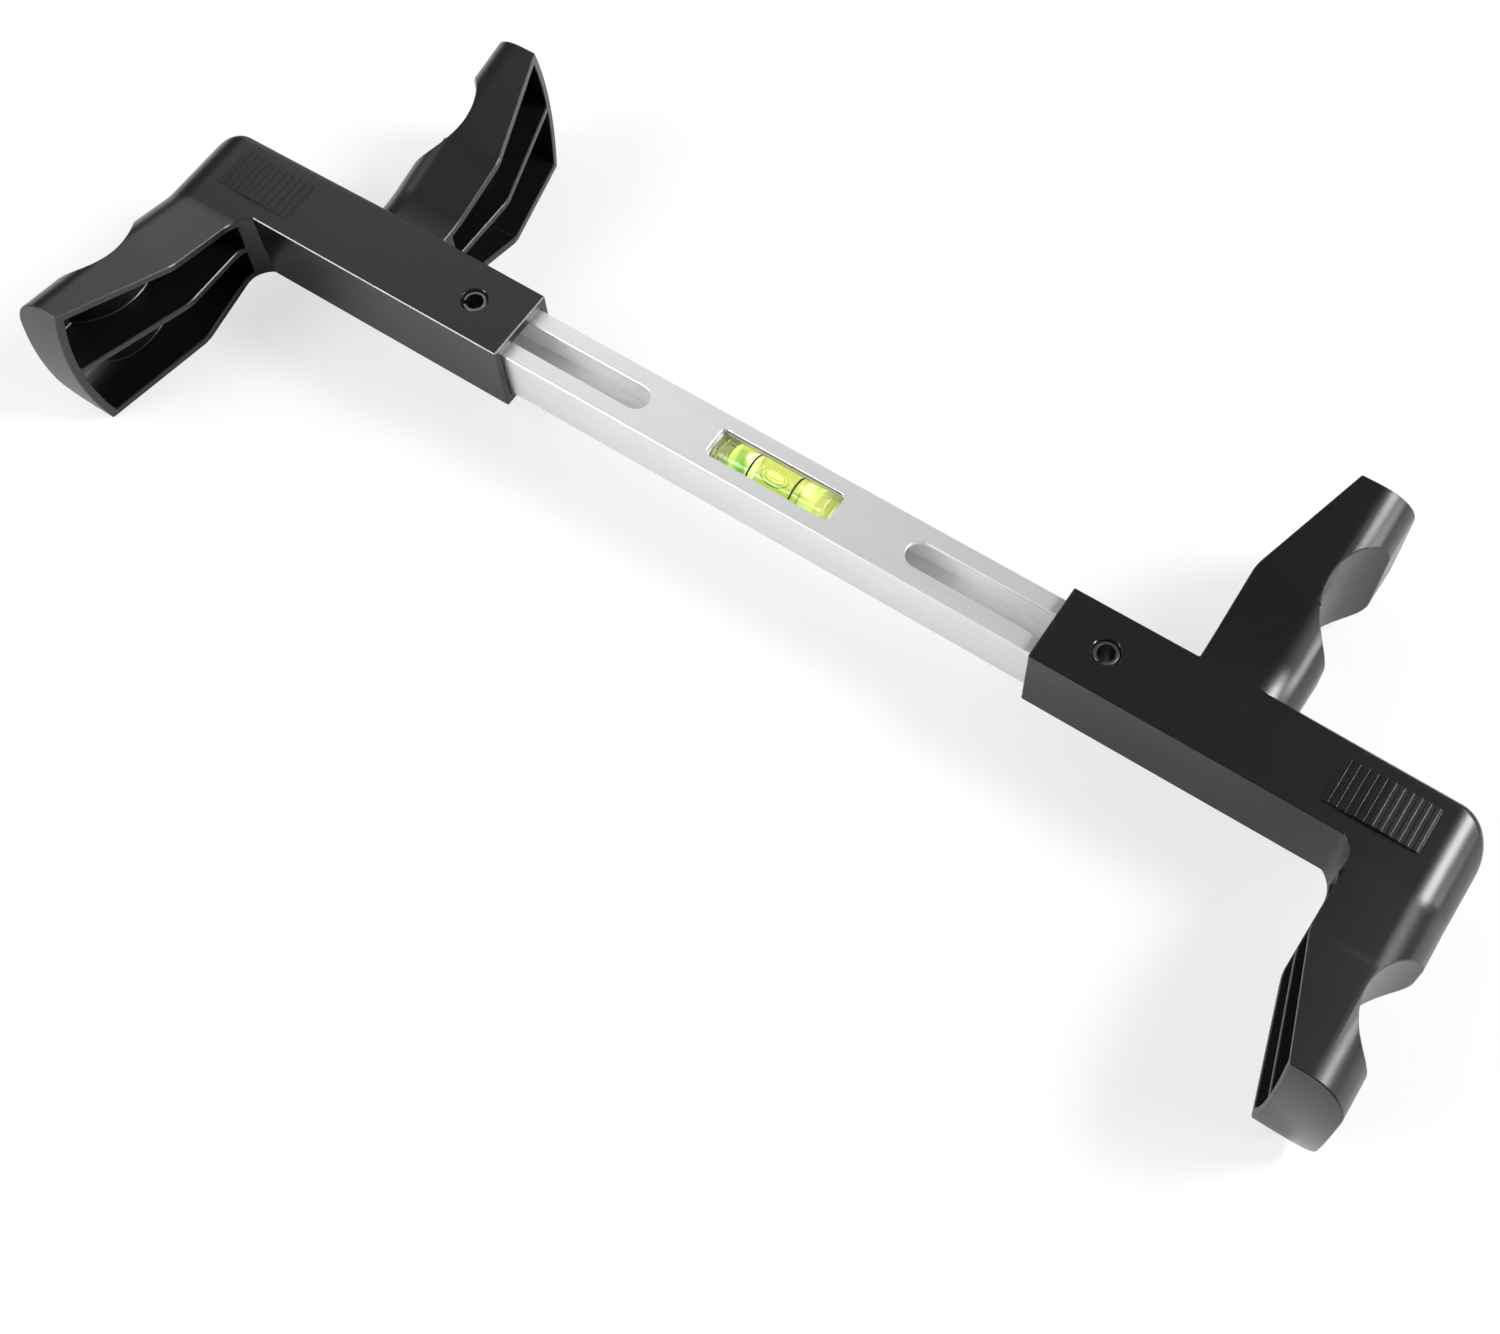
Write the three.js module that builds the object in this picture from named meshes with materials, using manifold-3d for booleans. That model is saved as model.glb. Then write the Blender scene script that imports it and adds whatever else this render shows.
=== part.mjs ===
// A spring-loaded level that braces itself inside the rim of a steering wheel.
// Millimetres. X runs along the bar, Y from the long-span arms to the short-span arms, and Z up
// through the vial's window. The origin is the bar's centre.
// At each end a moulded bracket slides over the bar, pushed outward by the spring inside it. A slotted
// pin through the bracket runs in the bar's slots and stops it at both ends of its travel.

import * as THREE from 'three';
import { mergeVertices } from 'three/addons/utils/BufferGeometryUtils.js';
import Module from 'manifold-3d';

const manifold = await Module();
manifold.setup();

// Clearances and tolerances
const fitGap = 0.3; // between two pieces that touch or slide on the real tool
const pressGap = 0.15; // round a pin in its hole and a line in its groove
const overrun = 2; // how far a cutter runs past the face that it cuts
const weld = 0.0001; // vertices closer than this are one

// Bar
const barSide = 20;
const barWall = 1.5;
const barEndLand = 7.7; // metal left between a slot and the bar's end
const windowWidth = 10.2;
const windowEndGap = 0.9; // from each end of the vial to the window's
const windowCorner = 1.75;

// Slotted spring pins
const pinDiameter = 8;
const pinWall = 1.2;
const pinSlit = 1.6;
const pinRecess = 0.8; // how far each end sits below the socket's face
const pinInset = 17.6; // from the socket's mouth
const slitAngle = { left: -2.4, right: -1.8 }; // where each slit faces, in radians from +X

// Brackets at rest, and how far each slides inward
const mouthDistance = 93.4; // from the bar's middle to a socket's mouth
const bracketTravel = 60.5;
const travelSpare = 0.3; // left in the slot when the bracket is fully in

// Socket of a bracket
const socketSideWall = 2.45;
const socketTopWall = 3.7;
const socketEndWall = 9;
const springBoreLength = 29.5; // round bore past the square cavity
const springBoreDiameter = 17;
const backEdgeRadius = 2.6; // rounding of the back edges at the outer end, none at the short-span arm

// Arms of a bracket
const armDepth = 30; // along the bar, at the root
const armSpacing = 61.5; // between the same faces of the two arms
const armEdgeRadius = 12.5; // outer edges of the arms and of the socket's end
const shortArmDrop = 0.4; // the short-span arm's root is this much below the socket's face
const creaseReach = 18.5; // reaches are distances from the bar's middle plane
const kinkReach = 43;
const kinkHalfHeight = 20.3;
const tipReach = 80;
const tipHalfHeight = 27.5;
const tipLean = 12; // how far the inner face has leaned outward at the tip
const tipBulge = 3.7;
const armWall = 2.7;
const armRib = 2.5;
const pocketReach = 17;
const rootFilletLength = 4.9; // along the socket, which it meets at an angle
const rootFilletReach = 8.75; // along the arm, which it meets smoothly

// Half-round notches for the rim
const notchRadius = 20;
const notchDepth = 11;
const notchReach = 50;

// Ribbed thumb pads
const padLength = 28.4;
const padWidth = 14.6;
const padEndInset = 15.8; // from the pad's outer end to the bracket's outer face
const padRidge = 1.2; // height of its middle
const padFoot = 0.25; // height of its ends
const padRib = 0.35; // height of a rib
const padRibCount = 11;
const padRibShare = 0.45; // part of the pitch that a rib takes up

// Springs and the plugs that they stand on
const springWire = 1.2;
const springDiameter = 13.8; // middle of the wire
const springTurns = 20;
const closedTurns = 1; // at each end
const closedCoilGap = 0.5;
const plugFlange = 2;
const plugEdge = 0.3; // how far the flange stands inside the bar's outline
const spigotLength = 12;
const spigotClearance = 1.1; // between the spigot and the wire
const spigotChamfer = 1;

// Vial
const vialDiameter = 11.5;
const vialBore = 8.4;
const vialTubeLength = 36.6;
const vialTopGap = 0.05; // how far the vial's top stands below the bar's top face
const capFlange = 1.4;
const capPlug = 3;
const capStub = 0.8;
const capStubDiameter = 8;
const ringSpacing = 15;
const ringWidth = 0.6;
const ringThickness = 0.3;
const bubbleLength = 9.5;
const bubbleWidth = 4.8;
const bubbleHeight = 2.6;
const bubbleTravel = 8; // to each side
const cradleEndWall = 2.4;

// Smoothness
const cornerSteps = 6; // per quarter turn of a bracket's large roundings
const holeSteps = 10; // per half turn of a hole, pin or slot end
const tipSteps = 8;
const notchSteps = 14;
const coilSteps = 8;
const coilSides = 5;

// Places that follow from the sizes
const socketCavity = barSide + 2 * fitGap;
const socketHalfWidth = socketCavity / 2 + socketSideWall;
const socketHalfHeight = socketCavity / 2 + socketTopWall;
const slotWidth = pinDiameter + 2 * fitGap;
const pinDistance = mouthDistance + pinInset;
const slotOuterEnd = pinDistance + slotWidth / 2;
const slotInnerEnd = pinDistance - bracketTravel - travelSpare - slotWidth / 2;
const barHalfLength = slotOuterEnd + barEndLand;
const plugFace = barHalfLength + fitGap + plugFlange - mouthDistance;
const cavityDepth = plugFace + bracketTravel + fitGap;
const springSeat = cavityDepth + springBoreLength;
const outerFace = springSeat + socketEndWall;
const longArmFace = outerFace - armDepth;
const shortArmFace = longArmFace - armSpacing;
const vialHeight = barSide / 2 - vialTopGap - vialDiameter / 2;
const vialHalfLength = vialTubeLength / 2 + fitGap + capFlange + capStub;
const windowLength = 2 * (vialHalfLength + windowEndGap);

const moulded = new THREE.MeshStandardMaterial({ color: 0x2e2e30, roughness: 0.5, metalness: 0 });
const aluminium = new THREE.MeshStandardMaterial({ color: 0xd6d7d9, roughness: 0.35, metalness: 0.9 });
const pinSteel = new THREE.MeshStandardMaterial({ color: 0x3a3a3c, roughness: 0.35, metalness: 0.9 });
const springSteel = new THREE.MeshStandardMaterial({ color: 0x9a9b9e, roughness: 0.3, metalness: 0.95 });
const plugPlastic = new THREE.MeshStandardMaterial({ color: 0x1e1e20, roughness: 0.6, metalness: 0 });
const clearAcrylic = new THREE.MeshStandardMaterial({
  color: 0xe4ecc0, roughness: 0.08, metalness: 0, transparent: true, opacity: 0.35,
});
const liquid = new THREE.MeshStandardMaterial({
  color: 0xc8ea3c, roughness: 0.1, metalness: 0, transparent: true, opacity: 0.6,
});
const air = new THREE.MeshStandardMaterial({
  color: 0xf6fbd0, roughness: 0.05, metalness: 0, transparent: true, opacity: 0.5,
});
const lineInk = new THREE.MeshStandardMaterial({ color: 0x0c0c0c, roughness: 0.5, metalness: 0 });
const cradleWhite = new THREE.MeshStandardMaterial({ color: 0xe9e9e6, roughness: 0.5, metalness: 0 });

// Solids and meshes

// A closed three.js geometry as a solid that can be cut and joined. Corners that fall together are
// welded, and the triangles that they flatten are left out.
function solidFrom(geometry) {
  const bare = new THREE.BufferGeometry();
  bare.setAttribute('position', geometry.getAttribute('position'));
  if (geometry.index) bare.setIndex(geometry.index);
  const welded = mergeVertices(bare, weld);
  const corners = welded.index.array;
  const triangles = [];
  for (let i = 0; i < corners.length; i += 3) {
    const [a, b, c] = [corners[i], corners[i + 1], corners[i + 2]];
    if (a !== b && b !== c && c !== a) triangles.push(a, b, c);
  }
  return new manifold.Manifold(new manifold.Mesh({
    numProp: 3,
    vertProperties: new Float32Array(welded.getAttribute('position').array),
    triVerts: new Uint32Array(triangles),
  }));
}

function meshFrom(solid, name, material) {
  const { vertProperties, triVerts } = solid.getMesh();
  const geometry = new THREE.BufferGeometry();
  geometry.setAttribute('position', new THREE.BufferAttribute(new Float32Array(vertProperties), 3));
  geometry.setIndex(new THREE.BufferAttribute(new Uint32Array(triVerts), 1));
  geometry.computeVertexNormals();
  const mesh = new THREE.Mesh(geometry, material.clone());
  mesh.name = name;
  return mesh;
}

function moved(solid, x, y, z) {
  return solid.translate([x, y, z]);
}

// Prisms: a shape drawn across X is given in (y, z), one across Y in (z, x), and one across Z in (x, y)
const acrossX = new THREE.Matrix4().makeBasis(
  new THREE.Vector3(0, 1, 0), new THREE.Vector3(0, 0, 1), new THREE.Vector3(1, 0, 0));
const acrossY = new THREE.Matrix4().makeBasis(
  new THREE.Vector3(0, 0, 1), new THREE.Vector3(1, 0, 0), new THREE.Vector3(0, 1, 0));
const acrossZ = new THREE.Matrix4();

function prism(shape, from, to, direction, curveSegments = holeSteps) {
  const geometry = new THREE.ExtrudeGeometry(shape, {
    depth: to - from, bevelEnabled: false, curveSegments,
  });
  geometry.translate(0, 0, from);
  geometry.applyMatrix4(direction);
  return solidFrom(geometry);
}

function outline(points) {
  return new THREE.Shape(points.map(([x, y]) => new THREE.Vector2(x, y)));
}

function rectangle(halfWidth, halfHeight) {
  return outline([
    [-halfWidth, -halfHeight], [halfWidth, -halfHeight], [halfWidth, halfHeight], [-halfWidth, halfHeight],
  ]);
}

function roundedRectangle(halfWidth, halfHeight, radius) {
  const shape = new THREE.Shape();
  shape.moveTo(-halfWidth, -halfHeight + radius);
  shape.absarc(-halfWidth + radius, -halfHeight + radius, radius, Math.PI, 1.5 * Math.PI);
  shape.absarc(halfWidth - radius, -halfHeight + radius, radius, 1.5 * Math.PI, 2 * Math.PI);
  shape.absarc(halfWidth - radius, halfHeight - radius, radius, 0, 0.5 * Math.PI);
  shape.absarc(-halfWidth + radius, halfHeight - radius, radius, 0.5 * Math.PI, Math.PI);
  return shape;
}

function disc(radius) {
  const shape = new THREE.Shape();
  shape.absarc(0, 0, radius, 0, 2 * Math.PI);
  return shape;
}

function rod(radius, from, to, direction, steps = holeSteps) {
  return prism(disc(radius), from, to, direction, 2 * steps);
}

// A closed body through sections that have equally many points, with flat ends
function loft(sections) {
  const count = sections[0].length;
  const positions = sections.flat().flatMap((point) => [point.x, point.y, point.z]);
  const triangles = [];
  for (let i = 0; i + 1 < sections.length; i += 1) {
    for (let j = 0; j < count; j += 1) {
      const a = i * count + j;
      const b = i * count + ((j + 1) % count);
      triangles.push(a, b, b + count, a, b + count, a + count);
    }
  }
  const lastStart = (sections.length - 1) * count;
  for (let j = 1; j + 1 < count; j += 1) {
    triangles.push(0, j + 1, j);
    triangles.push(lastStart, lastStart + j, lastStart + j + 1);
  }
  const geometry = new THREE.BufferGeometry();
  geometry.setAttribute('position', new THREE.Float32BufferAttribute(positions, 3));
  geometry.setIndex(triangles);
  return solidFrom(geometry);
}

// Bar

function slotCutter() {
  const radius = slotWidth / 2;
  const shape = new THREE.Shape();
  shape.absarc(slotInnerEnd + radius, 0, radius, 0.5 * Math.PI, 1.5 * Math.PI);
  shape.absarc(slotOuterEnd - radius, 0, radius, 1.5 * Math.PI, 2.5 * Math.PI);
  return prism(shape, -barSide / 2 - overrun, barSide / 2 + overrun, acrossZ);
}

function makeBar() {
  const innerHalf = barSide / 2 - barWall;
  const outer = prism(rectangle(barSide / 2, barSide / 2), -barHalfLength, barHalfLength, acrossX);
  const inside = prism(rectangle(innerHalf, innerHalf),
    -barHalfLength - overrun, barHalfLength + overrun, acrossX);
  const windowCutter = prism(roundedRectangle(windowLength / 2, windowWidth / 2, windowCorner),
    innerHalf - barWall / 2, barSide / 2 + overrun, acrossZ, cornerSteps);
  const slot = slotCutter();
  const bar = outer.subtract(inside).subtract(windowCutter)
    .subtract(slot).subtract(slot.rotate([0, 0, 180]));
  return meshFrom(bar, 'bar', aluminium);
}

// Brackets, drawn with x measured outward from the socket's mouth

const quarterAngles = Array.from({ length: cornerSteps + 1 }, (_, i) => (i / cornerSteps) * Math.PI / 2);

// One section of the socket at x: back corners rounded, front corners sharp
function socketSection(x, backY, halfHeight, radius) {
  const section = [];
  for (const angle of quarterAngles) {
    section.push(new THREE.Vector3(
      x, backY - radius * (1 - Math.cos(angle)), halfHeight - radius * (1 - Math.sin(angle))));
  }
  section.push(new THREE.Vector3(x, -socketHalfWidth, halfHeight));
  section.push(new THREE.Vector3(x, -socketHalfWidth, -halfHeight));
  for (const angle of quarterAngles.toReversed()) {
    section.push(new THREE.Vector3(
      x, backY - radius * (1 - Math.cos(angle)), -halfHeight + radius * (1 - Math.sin(angle))));
  }
  return section;
}

// The back edges are sharp up to the short-span arm. Past it their rounding grows to the outer corner,
// where the top, the underside and the back all turn in to the end with the arms' large radius.
function socketOutside() {
  const cornerStart = outerFace - armEdgeRadius;
  const sections = [
    socketSection(0, socketHalfWidth, socketHalfHeight, 0),
    socketSection(shortArmFace, socketHalfWidth, socketHalfHeight, 0),
  ];
  for (const angle of quarterAngles) {
    const inset = armEdgeRadius * (1 - Math.cos(angle));
    const halfHeight = socketHalfHeight - inset;
    sections.push(socketSection(cornerStart + armEdgeRadius * Math.sin(angle),
      socketHalfWidth - inset, halfHeight, Math.min(backEdgeRadius, halfHeight)));
  }
  return loft(sections);
}

// One section of an arm at its reach y, with x measured outward from the inner face at the root
function armSection(y, frontX, backX, halfHeight, radius) {
  const section = [new THREE.Vector3(frontX, y, -halfHeight)];
  section.push(new THREE.Vector3(frontX, y, halfHeight));
  for (const angle of quarterAngles) {
    section.push(new THREE.Vector3(
      backX - radius * (1 - Math.sin(angle)), y, halfHeight - radius * (1 - Math.cos(angle))));
  }
  for (const angle of quarterAngles.toReversed()) {
    section.push(new THREE.Vector3(
      backX - radius * (1 - Math.sin(angle)), y, -halfHeight + radius * (1 - Math.cos(angle))));
  }
  return section;
}

// The arm's outer body, or with a wall given, the hollow that leaves that wall
function armBody(rootHalfHeight, wall) {
  const cutting = wall > 0;
  const frontStart = cutting ? -overrun : 0;
  const tipSlope = (tipHalfHeight - kinkHalfHeight) / (tipReach - kinkReach);
  const leanSlope = tipLean / (tipReach - kinkReach);
  const pastTip = tipBulge + overrun;
  const endLean = tipLean + leanSlope * pastTip;
  const endHalfHeight = tipHalfHeight + tipSlope * pastTip;
  const stations = [
    { y: cutting ? pocketReach : 0, lean: 0, half: rootHalfHeight },
    { y: creaseReach, lean: 0, half: rootHalfHeight },
    { y: kinkReach, lean: 0, half: kinkHalfHeight },
    { y: tipReach + pastTip, lean: endLean, half: endHalfHeight },
  ];
  if (cutting) {
    const share = (pocketReach - creaseReach) / (kinkReach - creaseReach);
    stations[0].half = rootHalfHeight + Math.max(share, 0) * (kinkHalfHeight - rootHalfHeight);
    if (pocketReach >= creaseReach) stations.splice(1, 1);
  }
  const body = loft(stations.map(({ y, lean, half }) => (
    armSection(y, lean + frontStart, armDepth - wall, half - wall, armEdgeRadius - wall))));
  const tipRadius = (tipHalfHeight ** 2 + tipBulge ** 2) / (2 * tipBulge);
  const endReach = tipReach + tipBulge;
  const halfSweep = Math.asin(Math.min((tipHalfHeight + overrun) / tipRadius, 1));
  const endShape = new THREE.Shape();
  endShape.absarc(endReach - tipRadius, 0, tipRadius - wall, -halfSweep, halfSweep);
  endShape.lineTo(-overrun, tipHalfHeight + overrun);
  endShape.lineTo(-overrun, -tipHalfHeight - overrun);
  return body.intersect(prism(endShape, -2 * overrun, armDepth + overrun, acrossX, tipSteps));
}

function notchBody(wall, halfHeight) {
  return moved(rod(notchRadius + wall, -halfHeight, halfHeight, acrossZ, notchSteps),
    armDepth + notchRadius - notchDepth, notchReach, 0);
}

// An arm that reaches towards +Y, and the two pockets that hollow it from its inner face
function armOutside(rootHalfHeight) {
  return armBody(rootHalfHeight, 0).subtract(notchBody(0, tipHalfHeight + overrun));
}

function armPockets(rootHalfHeight) {
  const tall = tipHalfHeight + overrun;
  const rib = prism(rectangle(tall + tipReach, armRib / 2), -2 * overrun, armDepth, acrossX);
  return armBody(rootHalfHeight, armWall).subtract(notchBody(armWall, tall)).subtract(rib);
}

function atLongArm(solid) {
  return moved(solid.rotate([180, 0, 0]), longArmFace, 0, 0);
}

function atShortArm(solid) {
  return moved(solid, shortArmFace, 0, 0);
}

// The concave fillet between the socket's front face and the long-span arm
function rootFilletBody() {
  const cornerY = -socketHalfWidth;
  const radius = (rootFilletLength ** 2 + rootFilletReach ** 2) / (2 * rootFilletLength);
  const fromAngle = Math.asin(rootFilletReach / radius);
  const shape = new THREE.Shape();
  shape.moveTo(longArmFace + overrun, cornerY + overrun);
  shape.lineTo(longArmFace - rootFilletLength, cornerY + overrun);
  shape.lineTo(longArmFace - rootFilletLength, cornerY);
  shape.absarc(longArmFace - radius, cornerY - rootFilletReach, radius, fromAngle, 0, true);
  shape.lineTo(longArmFace + overrun, cornerY - rootFilletReach);
  return prism(shape, -socketHalfHeight, socketHalfHeight, acrossZ, cornerSteps);
}

// A thumb pad on the top face: two slopes that meet in a ridge, with ribs across them
function thumbPad() {
  const end = outerFace - padEndInset;
  const start = end - padLength;
  const pitch = padLength / padRibCount;
  const level = (x) => {
    const share = 1 - Math.abs(x - (start + end) / 2) / (padLength / 2);
    return socketHalfHeight + padFoot + (padRidge - padFoot) * share;
  };
  const floor = socketHalfHeight - socketTopWall / 2;
  const points = [[floor, start], [floor, end]];
  for (let i = padRibCount - 1; i >= 0; i -= 1) {
    const ribEnd = start + (i + (1 + padRibShare) / 2) * pitch;
    const ribStart = ribEnd - padRibShare * pitch;
    const valleyEnd = Math.min(start + (i + 1) * pitch, end);
    points.push([level(valleyEnd), valleyEnd], [level(ribEnd), ribEnd], [level(ribEnd) + padRib, ribEnd],
      [level(ribStart) + padRib, ribStart], [level(ribStart), ribStart]);
  }
  points.push([level(start), start]);
  return prism(outline(points), -padWidth / 2, padWidth / 2, acrossY);
}

function makeBracketSolid() {
  const longRoot = socketHalfHeight;
  const shortRoot = socketHalfHeight - shortArmDrop;
  const pad = thumbPad();
  const cavity = prism(rectangle(socketCavity / 2, socketCavity / 2), -overrun, cavityDepth, acrossX);
  const springBore = rod(springBoreDiameter / 2, cavityDepth - overrun, springSeat, acrossX);
  const pinHole = moved(
    rod(pinDiameter / 2 + pressGap, -socketHalfHeight - overrun, socketHalfHeight + overrun, acrossZ),
    pinInset, 0, 0);
  return socketOutside().add(rootFilletBody()).add(pad).add(pad.rotate([180, 0, 0]))
    .add(atLongArm(armOutside(longRoot))).add(atShortArm(armOutside(shortRoot)))
    .subtract(atLongArm(armPockets(longRoot))).subtract(atShortArm(armPockets(shortRoot)))
    .subtract(cavity).subtract(springBore).subtract(pinHole);
}

// Pins, springs and plugs

function makePin(name, angle) {
  const radius = pinDiameter / 2;
  const boreRadius = radius - pinWall;
  const halfLength = socketHalfHeight - pinRecess;
  const outerHalfSlit = Math.asin(pinSlit / 2 / radius);
  const innerHalfSlit = Math.asin(pinSlit / 2 / boreRadius);
  const shape = new THREE.Shape();
  shape.absarc(0, 0, radius, angle + outerHalfSlit, angle + 2 * Math.PI - outerHalfSlit);
  shape.absarc(0, 0, boreRadius, angle + 2 * Math.PI - innerHalfSlit, angle + innerHalfSlit, true);
  return meshFrom(prism(shape, -halfLength, halfLength, acrossZ, 2 * holeSteps), name, pinSteel);
}

// The middle line of a spring's wire, one point a step, and the least gap between its turns
function springPath() {
  const from = plugFace + fitGap + springWire / 2;
  const to = springSeat - fitGap - springWire / 2;
  const closedPitch = springWire + closedCoilGap;
  const openTurns = springTurns - 2 * closedTurns;
  const openPitch = (to - from - 2 * closedTurns * closedPitch) / openTurns;
  const points = [];
  for (let i = 0; i <= springTurns * coilSteps; i += 1) {
    const turn = i / coilSteps;
    const fromStart = Math.min(turn, closedTurns) * closedPitch;
    const fromMiddle = THREE.MathUtils.clamp(turn - closedTurns, 0, openTurns) * openPitch;
    const fromEnd = Math.max(turn - (springTurns - closedTurns), 0) * closedPitch;
    const angle = 2 * Math.PI * turn;
    points.push(new THREE.Vector3(from + fromStart + fromMiddle + fromEnd,
      springDiameter / 2 * Math.cos(angle), springDiameter / 2 * Math.sin(angle)));
  }
  return points;
}

function leastCoilGap(path) {
  let least = Infinity;
  for (let i = 0; i < path.length; i += 1) {
    for (let j = i + coilSteps / 2; j < path.length; j += 1) {
      least = Math.min(least, path[i].distanceTo(path[j]) - springWire);
    }
  }
  return least;
}

function makeSpringSolid() {
  const path = springPath();
  const sections = path.map((centre, i) => {
    const before = path[Math.max(i - 1, 0)];
    const after = path[Math.min(i + 1, path.length - 1)];
    const along = after.clone().sub(before).normalize();
    const outward = new THREE.Vector3(0, centre.y, centre.z).normalize();
    const across = along.clone().cross(outward).normalize();
    const section = [];
    for (let side = 0; side < coilSides; side += 1) {
      const angle = (side / coilSides) * 2 * Math.PI;
      section.push(centre.clone()
        .addScaledVector(outward, springWire / 2 * Math.cos(angle))
        .addScaledVector(across, springWire / 2 * Math.sin(angle)));
    }
    return section;
  });
  console.log(`least gap between spring turns: ${leastCoilGap(path).toFixed(2)} mm`);
  return loft(sections);
}

function makePlugSolid() {
  const stemHalf = barSide / 2 - barWall - fitGap;
  const flangeHalf = barSide / 2 - plugEdge;
  const flangeFrom = plugFace - plugFlange;
  const stemFrom = barHalfLength - mouthDistance - (barEndLand - 2 * fitGap);
  const spigotRadius = (springDiameter - springWire) / 2 - spigotClearance;
  const spigotProfile = [
    [0, flangeFrom + plugFlange / 2], [spigotRadius, flangeFrom + plugFlange / 2],
    [spigotRadius, plugFace + spigotLength - spigotChamfer],
    [spigotRadius - spigotChamfer, plugFace + spigotLength], [0, plugFace + spigotLength],
  ].map(([radius, x]) => new THREE.Vector2(radius, x));
  const spigot = new THREE.LatheGeometry(spigotProfile, 2 * holeSteps);
  spigot.applyMatrix4(acrossY);
  return prism(rectangle(stemHalf, stemHalf), stemFrom, plugFace - plugFlange / 2, acrossX)
    .add(prism(rectangle(flangeHalf, flangeHalf), flangeFrom, plugFace, acrossX))
    .add(solidFrom(spigot));
}

// Vial, its liquid and bubble, and the clip that holds it

const vialRadius = vialDiameter / 2;
const boreRadius = vialBore / 2;
const cavityHalfLength = vialTubeLength / 2 - capPlug;

function makeVialTube() {
  const half = vialTubeLength / 2;
  const groove = rod(vialRadius + overrun, -ringWidth / 2 - pressGap, ringWidth / 2 + pressGap, acrossX)
    .subtract(rod(vialRadius - ringThickness - pressGap, -ringWidth, ringWidth, acrossX));
  const tube = rod(vialRadius, -half, half, acrossX)
    .subtract(rod(boreRadius, -half - overrun, half + overrun, acrossX))
    .subtract(moved(groove, -ringSpacing / 2, 0, 0))
    .subtract(moved(groove, ringSpacing / 2, 0, 0));
  return meshFrom(tube, 'vial_tube', clearAcrylic);
}

function makeVialCap(side, turn) {
  const flangeFrom = vialTubeLength / 2 + fitGap;
  const flangeTo = flangeFrom + capFlange;
  const cap = rod(vialRadius, flangeFrom, flangeTo, acrossX)
    .add(rod(boreRadius - fitGap, cavityHalfLength, flangeFrom + capFlange / 2, acrossX))
    .add(rod(capStubDiameter / 2, flangeTo - capFlange / 2, flangeTo + capStub, acrossX));
  return meshFrom(cap.rotate([0, 0, turn]), `vial_end_cap_${side}`, clearAcrylic);
}

function makeVialRing(side, x) {
  const ring = rod(vialRadius, -ringWidth / 2, ringWidth / 2, acrossX)
    .subtract(rod(vialRadius - ringThickness, -ringWidth, ringWidth, acrossX));
  return meshFrom(moved(ring, x, 0, 0), `vial_ring_${side}`, lineInk);
}

// The liquid leaves a channel along the top for the bubble to run in
function makeLiquid() {
  const half = cavityHalfLength - fitGap;
  const radius = boreRadius - fitGap;
  const channelHalf = bubbleLength / 2 + bubbleTravel + fitGap;
  const channelFloor = radius - bubbleHeight - fitGap;
  const channel = prism(rectangle(channelHalf, bubbleWidth / 2 + fitGap),
    channelFloor, radius + overrun, acrossZ);
  return meshFrom(rod(radius, -half, half, acrossX).subtract(channel), 'vial_liquid', liquid);
}

function makeBubble() {
  const geometry = new THREE.SphereGeometry(1, 2 * holeSteps, holeSteps);
  geometry.rotateZ(Math.PI / 2);
  geometry.scale(bubbleLength / 2, bubbleWidth / 2, bubbleHeight / 2);
  geometry.translate(0, 0, boreRadius - fitGap - bubbleHeight / 2);
  const inBore = rod(boreRadius - fitGap, -bubbleLength, bubbleLength, acrossX);
  return meshFrom(solidFrom(geometry).intersect(inBore), 'vial_bubble', air);
}

// A block that fills the bar's inside, with a trough that snaps round the vial below the window
function makeCradle() {
  const half = barSide / 2 - barWall - fitGap;
  const troughHalf = vialHalfLength + fitGap;
  const cradleHalf = troughHalf + cradleEndWall;
  const trough = moved(rod(vialRadius + fitGap, -troughHalf, troughHalf, acrossX), 0, 0, vialHeight);
  const mouth = prism(rectangle(troughHalf, windowWidth / 2), vialHeight, half + overrun, acrossZ);
  const cradle = prism(rectangle(half, half), -cradleHalf, cradleHalf, acrossX)
    .subtract(trough).subtract(mouth);
  return meshFrom(cradle, 'vial_cradle', cradleWhite);
}

// Assembly

const level = new THREE.Group();
level.add(makeBar());

const bracketSolid = makeBracketSolid();
const springSolid = makeSpringSolid();
const plugSolid = makePlugSolid();

// The left end is the right end turned over about the Y axis, so one moulding serves both
for (const side of ['right', 'left']) {
  const turned = side === 'left';
  const end = new THREE.Group();
  end.rotation.y = turned ? Math.PI : 0;
  const parts = new THREE.Group();
  parts.position.x = mouthDistance;
  parts.add(meshFrom(bracketSolid, `${side}_bracket`, moulded));
  parts.add(meshFrom(springSolid, `${side}_spring`, springSteel));
  parts.add(meshFrom(plugSolid, `${side}_bar_plug`, plugPlastic));
  const pin = makePin(`${side}_pin`, turned ? Math.PI - slitAngle.left : slitAngle.right);
  pin.position.x = pinInset;
  parts.add(pin);
  end.add(parts);
  level.add(end);
}

const vial = new THREE.Group();
vial.position.z = vialHeight;
vial.add(makeVialTube());
vial.add(makeVialCap('right', 0));
vial.add(makeVialCap('left', 180));
vial.add(makeVialRing('right', ringSpacing / 2));
vial.add(makeVialRing('left', -ringSpacing / 2));
vial.add(makeLiquid());
vial.add(makeBubble());
level.add(vial);
level.add(makeCradle());

export default level;
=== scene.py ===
# %% [markdown]
# # A steering wheel level
# The real tool is a square aluminium bar with a bubble vial in its top. A black moulded bracket
# slides on each end of the bar, pushed outward by a spring, until its notches brace inside a
# steering wheel's rim.
#
# The working model is already in place when this lesson starts: every piece at its real size, on
# the body that it moves with. Here each piece that shows is modelled again, finer, in the same
# place. Lengths are in metres, and the working model is written in millimetres, so one millimetre
# has a name.

# %% Load the working model
import math

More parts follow.
